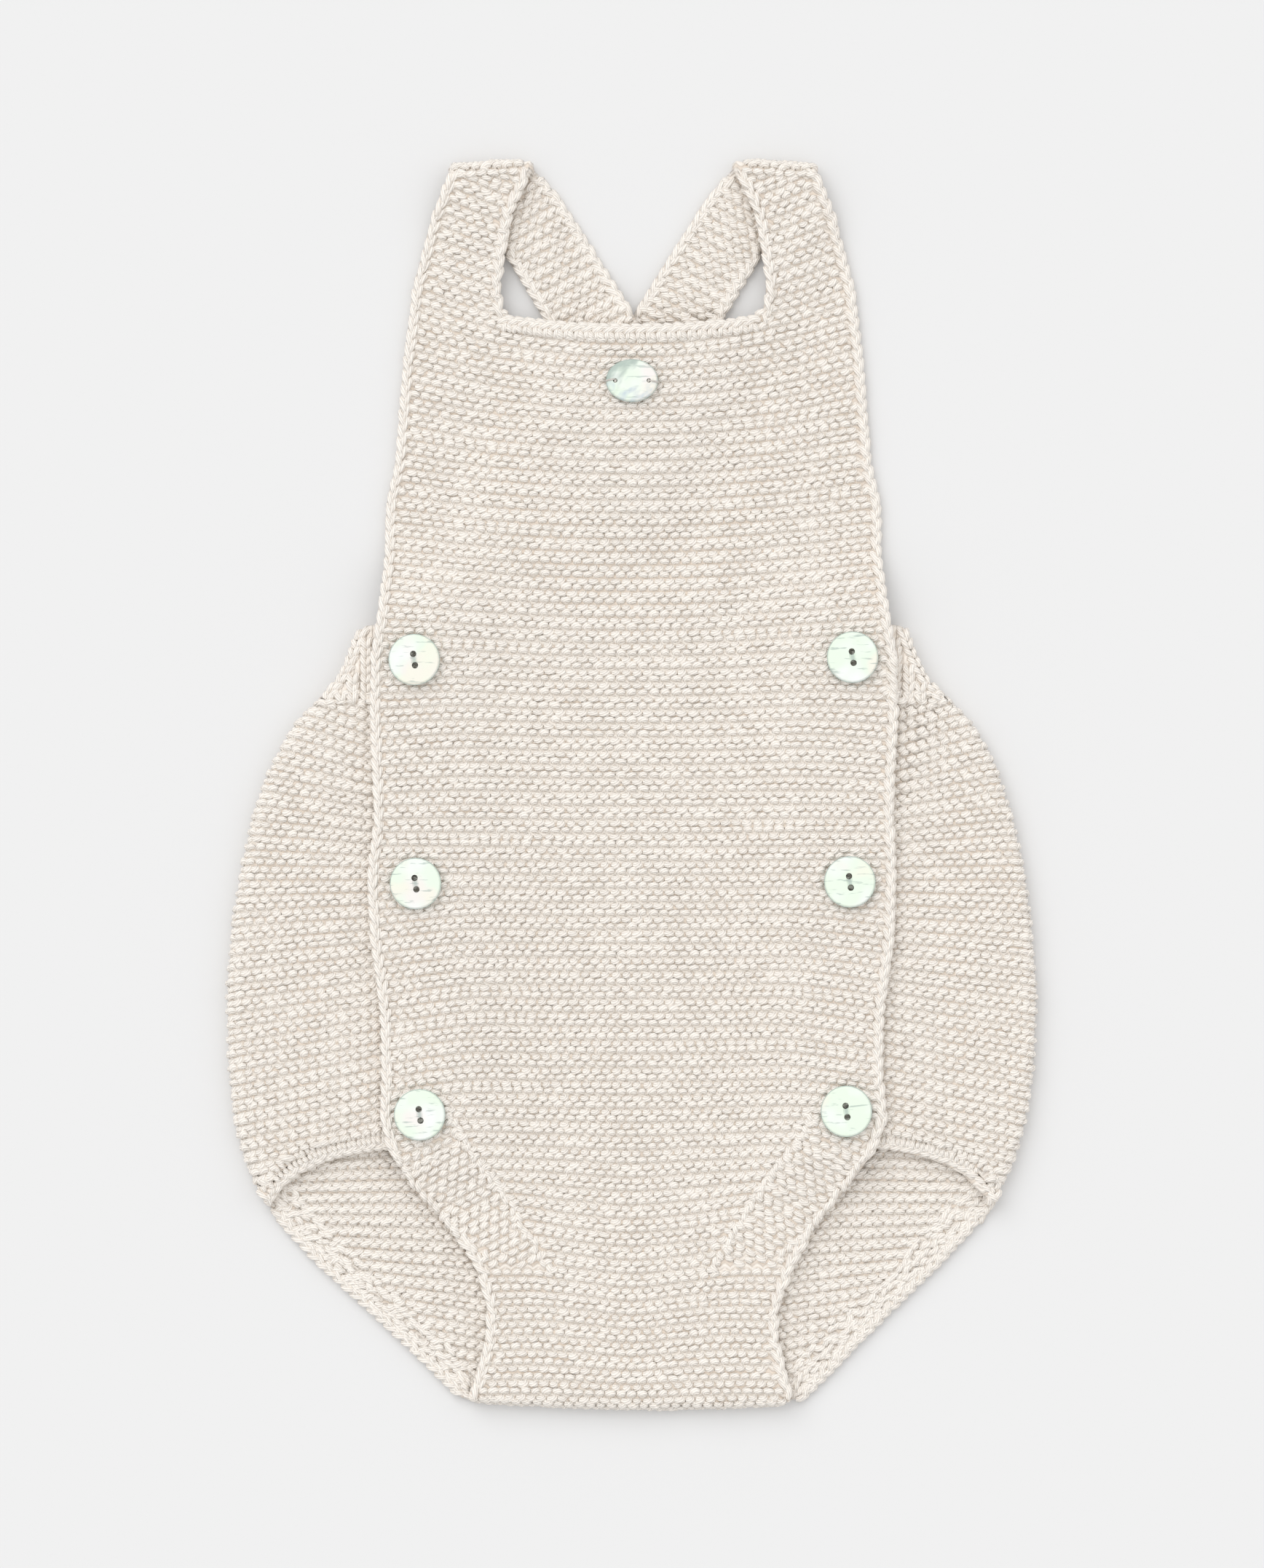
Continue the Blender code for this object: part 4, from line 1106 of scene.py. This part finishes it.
def rib_columns(loops, everything):
    """Columns of slanted legs down the ribs of the waistband, the outermost along its edge."""
    cloth = Cloth("waist_rib")
    apart, spread, slant, sink, length, ahead = 2.6, 0.8, 0.42, 0.5, 3.6, 1.5
    for side in SIDES:
        for y in np.arange(RIB_BOTTOM - 0.4, RIB_TOP - 0.6, apart):
            level = max(y, RIB_BOTTOM + 0.3)
            edge = rim(cloth, side, level)
            slope = (rim(cloth, side, min(level + ahead, RIB_TOP - 0.2)) - edge) / ahead
            columns = [(edge - 1.5, slope)] + [(c, 0.0) for c in RIB_CRESTS if c < edge - 4.0]
            for middle, lean in columns:
                for way in SIDES:
                    x = side * (middle + spread * way)
                    z = everything.height(x, level)
                    if z is not None and seen(x, level, cloth, everything):
                        along = (side * (slant * way + lean), 1.0, 0.0)
                        strand(loops, (x, y, z - sink), along, cloth.up(x, level, z), length)


def draws_in(node, place):
    """Whether a cloth may draw in sideways here: at its folds and its chained edges, and not
    where another cloth is sewn on."""
    x, y, _ = place / MM
    if node == "back_panel":
        outline = across(SEAT_OUTLINE, 1 if x > 0 else -1, y)
        return FOLD_END_Y < y < 24.0 and abs(x) > outline - 4.0
    return not node.startswith("leg_border") and all(abs(y - level) > 0.8 for level in BUTTED)


def copy_cloth(node, name, slot, depth):
    """The CAD node's form as a cloth, sunk where loops of yarn cover it."""
    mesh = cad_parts[node].data.copy()
    piece = bpy.data.objects.new(name, mesh)
    bpy.context.scene.collection.objects.link(piece)
    work = bmesh.new()
    work.from_mesh(mesh)
    bmesh.ops.remove_doubles(work, verts=work.verts, dist=0.004 * MM)
    work.normal_update()
    for vertex in work.verts:
        n = vertex.normal.copy()
        share = min(max((n.z + 0.35) / 0.3, 0.0), 1.0)  # the underside stays where it is
        if not draws_in(node, vertex.co):
            n.x = n.y = 0.0
        vertex.co -= n * (depth * share)
        if node.startswith("leg_border"):
            side = 1 if vertex.co.x > 0 else -1
            widest = (across(SEAT_OUTLINE, side, vertex.co.y / MM) - 1.0) * MM
            vertex.co.x = side * min(abs(vertex.co.x), widest)
        for level in BUTTED:
            if abs(vertex.co.y / MM - level) < 0.4:
                vertex.co.y = level * MM
    work.to_mesh(mesh)
    work.free()
    paint = slot + "_cloth"
    mesh.materials.clear()
    mesh.materials.append(bpy.data.materials.get(paint) or cloth_material(paint))
    mesh.shade_smooth()
    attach(piece, "root")
    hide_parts(node)
    return piece


class OVERALLS_OT_front(bpy.types.Operator):
    """Knit the front, from the crotch up to the straps' folds"""

    bl_idname = "overalls.front"
    bl_label = "Front and strap fronts"

    def execute(self, context):
        ridges = front_stitches()
        ridges.append((FRONT_START, along_fold(crotch_path(), 1.0, (1.2, FOLD_TURN))))
        for side in SIDES:
            top = mirrored(side, STRAP_FOLD)
            ridges.append((FRONT_END, along_fold(top, side, (0.3, 1.4, FOLD_TURN))))
        parts = [
            grow_ridges(gather(ridges, low, high), name)
            for name, low, high in (
                ("seat_low_ridges", -200.0, -74.0),
                ("seat_ridges", -74.0, SEAT_START),
                ("bib_ridges", SEAT_START, 106.0),
                ("strap_ridges", 106.0, 200.0),
            )
        ]
        depth = context.scene.knit_sizes.cloth_depth
        cloth = copy_cloth("front_panel", "front_cloth", "knit", depth)
        return {"FINISHED"}


class OVERALLS_OT_back(bpy.types.Operator):
    """Knit the flaps, the leg openings and the straps' backs"""

    bl_idname = "overalls.back"
    bl_label = "Back, flaps and strap backs"

    def execute(self, context):
        everything = Cloth(*CLOTH_NODES)
        depth = context.scene.knit_sizes.cloth_depth
        for side in SIDES:
            flap = flap_stitches(side, everything)
            flap.rows += leg_stitches(side, everything).rows
            grow_ridges(flap, SIDE_NAME[side] + "_flap_ridges")
        cloth = copy_cloth("back_panel", "back_cloth", "knit", depth)
        for side in SIDES:
            name = SIDE_NAME[side]
            back = grow_ridges(strap_back_stitches(side, everything), name + "_strap_back_ridges")
            strap = copy_cloth("strap_" + name, name + "_strap_cloth", "knit", depth)
        return {"FINISHED"}


class OVERALLS_OT_edges(bpy.types.Operator):
    """Run the chains along the edges and down the waistband's ribs"""

    bl_idname = "overalls.edges"
    bl_label = "Edge chains"

    def execute(self, context):
        loops = Loops()
        panel = Cloth("front_panel", "strap_left", "strap_right")
        for side in SIDES:
            front_edges(loops, panel, side)
            inner = [(30.4, 176.6), *((x, y) for y, x in reversed(STRAP_INNER[:-1]))]
            chain(loops, mirrored(side, inner), panel, side)
            strap = Cloth("strap_" + SIDE_NAME[side])
            chain(loops, mirrored(side, STRAP_BACK_OUTER), strap, -side)
            chain(loops, mirrored(side, STRAP_BACK_INNER), strap, side)
        bind_off(loops, Cloth("front_panel"))
        decreases(loops)
        grow_strands(loops, "edge_chains", "knit")

        loops = Loops()
        rib_columns(loops, Cloth(*CLOTH_NODES))
        ribs = grow_strands(loops, "rib_columns", "rib_knit")
        depth = context.scene.knit_sizes.cloth_depth
        band = copy_cloth("waist_rib", "waist_rib_cloth", "rib_knit", depth)
        for side in SIDES:
            loops = Loops()
            leg_border(loops, side)
            name = SIDE_NAME[side]
            chains = grow_strands(loops, name + "_leg_chains", "border_knit")
            piece_name = name + "_leg_border_cloth"
            border = copy_cloth("leg_border_" + name, piece_name, "border_knit", 0.5 * MM)
        return {"FINISHED"}


def shell_material(name, streaks, top, slant):
    """Polished shell: soft clouds of sheen and fine grey streaks, with painted shade along the rim
    and in what is cut below its top face. slant says how much its colour goes from grey at the upper
    left to cream at the lower right, as on the tag."""
    paint = bpy.context.scene.shell_colours
    pale, mint, rose, cream, blue, grey = (
        tuple(c) for c in (paint.pale, paint.mint, paint.rose, paint.cream, paint.blue, paint.grey)
    )

    def base(graph):
        place = graph.place()
        x, y, z = graph.split(place)
        cloud = graph.noise(place, 90.0)
        other = graph.noise(graph.join(y, x, 0.3), 70.0)
        fine = graph.noise(graph.join((x + y) * 0.5, y - x, 0.7), 240.0) - 0.5
        streak = graph.noise(graph.join(x * 0.35, y * 2.4), 420.0, 3.0)
        right, up = x - TAG_MIDDLE[0] * MM, y - TAG_MIDDLE[1] * MM
        corner = (up * 90.0 - right * 80.0 + fine * 2.0) * slant
        low = (up * -150.0 - fine * 4.0) * slant
        tone = pale
        for share, sheen in (
            (cloud.smooth(0.30, 0.56), mint),
            (other.smooth(0.52, 0.68) * 0.7, rose),
            ((cloud + other).smooth(1.08, 1.22) * 0.6, cream),
            (corner.smooth(0.1, 0.9) * 0.8, grey),
            ((corner * -1.0).smooth(0.2, 0.8) * 0.7, cream),
            (low.smooth(0.2, 1.2) * 0.7, blue),
            (streak.smooth(0.59, 0.67) * streaks, grey),
            # painted shade: grey along the rim and in the holes and the channel cut below the top
            # face
            ((top * MM - z).smooth(0.2 * MM, 0.5 * MM) * 0.75, grey),
        ):
            tone = graph.mix(share, tone, sheen)
        return tone

    def roughness(graph):
        return graph.noise(graph.place(), 500.0) * 0.15 + 0.16

    def relief(graph):
        return graph.noise(graph.place(), 260.0)

    fixed = {"Coat Weight": 0.3, "Coat Roughness": 0.1}
    return surface(name, base, roughness, (relief, 0.05 * MM), fixed)


class OVERALLS_OT_shell(bpy.types.Operator):
    """Finish the shell buttons and the shell tag, with the threads that hold the tag"""

    bl_idname = "overalls.shell"
    bl_label = "Shell buttons and tag"

    def execute(self, context):
        button = shell_material("shell_button", 0.6, BUTTON_TOP, 0.0)
        tag = shell_material("shell_tag", 0.5, TAG_TOP, 1.0)
        for name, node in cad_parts.items():
            if name.startswith("button") or name == "tag":
                for slot in node.material_slots:
                    slot.material = tag if name == "tag" else button
        threads = Loops()
        x, y = TAG_MIDDLE
        for side in SIDES:
            over = (x + side * THREAD_MIDDLE, y - 0.2 * side, TAG_TOP + 0.1)
            threads.add(over, (side, -0.2, 0.0), (0.0, 0.0, 1.0))
            plug = (x + side * TAG_HOLE, y, TAG_TOP - 0.45)
            threads.add(plug, (0.3, 1.0, 0.0), (0.0, 0.0, 1.0), (0.4, 1.6, 1.0))
        threads.grow("tag_threads", "knit", THREAD_LOOP, steps=6, sides=6, seed=1, unevenness=0.0)
        return {"FINISHED"}


class OVERALLS_OT_stage(bpy.types.Operator):
    """Set the floor, the soft lights and the camera"""

    bl_idname = "overalls.stage"
    bl_label = "Floor, lights and camera"

    def execute(self, context):
        scene = context.scene
        settings = scene.stage_settings
        mesh = bpy.data.meshes.new("floor")
        reach = 3.0
        corners = ((-1, -1), (1, -1), (1, 1), (-1, 1))
        mesh.from_pydata([(x * reach, y * reach, 0) for x, y in corners], [], [(0, 1, 2, 3)])
        floor = bpy.data.objects.new("floor", mesh)
        floor.location.z = -0.2 * MM
        scene.collection.objects.link(floor)
        paint = bpy.data.materials.new("floor")
        paint.use_nodes = True
        shader = paint.node_tree.nodes["Principled BSDF"]
        shader.inputs["Base Color"].default_value = (*settings.floor, 1.0)
        shader.inputs["Roughness"].default_value = 0.9
        shader.inputs["Specular IOR Level"].default_value = 0.1
        mesh.materials.append(paint)
        floor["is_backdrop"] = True
        world = bpy.data.worlds.new("studio")
        world.use_nodes = True
        sky = world.node_tree.nodes["Background"].inputs
        sky["Color"].default_value = (1.0, 1.0, 1.0, 1.0)
        sky["Strength"].default_value = settings.sky
        scene.world = world
        scene.view_settings.view_transform = "Standard"
        for name, place, spread, power in (
            ("key", (-0.55, 0.75, 1.0), 50.0, settings.key),
            ("fill", (0.9, 0.2, 1.4), 80.0, settings.key * 0.25),
        ):
            light = bpy.data.lights.new(name, "SUN")
            light.angle = math.radians(spread)
            light.energy = power
            lamp = bpy.data.objects.new(name, light)
            lamp.location = place
            lamp.rotation_mode = "QUATERNION"
            lamp.rotation_quaternion = (-Vector(place)).to_track_quat("-Z", "Y")
            scene.collection.objects.link(lamp)
        lens, frame_height, level = 135.0, 0.4584, 0.004
        camera = bpy.data.cameras.new("camera")
        camera.lens = lens
        distance = frame_height / 2 / (camera.sensor_width / 2 / lens)
        camera.clip_start, camera.clip_end = 0.1, 20.0
        holder = bpy.data.objects.new("camera", camera)
        holder.location = (0.0001, -0.0002, level + distance)
        scene.collection.objects.link(holder)
        scene.camera = holder
        return {"FINISHED"}


class OVERALLS_PT_panel(bpy.types.Panel):
    """The steps that build the overalls, in order"""

    bl_idname = "OVERALLS_PT_panel"
    bl_label = "Knit overalls"
    bl_space_type = "VIEW_3D"
    bl_region_type = "UI"
    bl_category = "Overalls"

    def draw(self, context):
        for title in GROUPS:
            box, group = self.layout.box(), getattr(context.scene, title)
            for name in group.__annotations__:
                box.prop(group, name)
        for operator in OPERATORS:
            self.layout.operator(operator.bl_idname)


GROUPS = {
    "knit_sizes": KnitSizes,
    "knit_colours": KnitColours,
    "shell_colours": ShellColours,
    "stage_settings": StageSettings,
}
OPERATORS = (
    OVERALLS_OT_front,
    OVERALLS_OT_back,
    OVERALLS_OT_edges,
    OVERALLS_OT_shell,
    OVERALLS_OT_stage,
)


def register():
    for item in (*GROUPS.values(), *OPERATORS, OVERALLS_PT_panel):
        bpy.utils.register_class(item)
    for name, group in GROUPS.items():
        setattr(bpy.types.Scene, name, bpy.props.PointerProperty(type=group))


def unregister():
    for name in GROUPS:
        delattr(bpy.types.Scene, name)
    for item in (OVERALLS_PT_panel, *reversed(OPERATORS), *reversed(GROUPS.values())):
        bpy.utils.unregister_class(item)


def main():
    register()
    bpy.ops.overalls.front()
    bpy.ops.overalls.back()
    bpy.ops.overalls.edges()
    bpy.ops.overalls.shell()
    bpy.ops.overalls.stage()
    bpy.context.view_layer.update()
    sizes = {"cad": CAD_BOX, "visual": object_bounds()}
    {name: [list(corner) for corner in box] for name, box in sizes.items()}


if __name__ == "__main__":
    main()
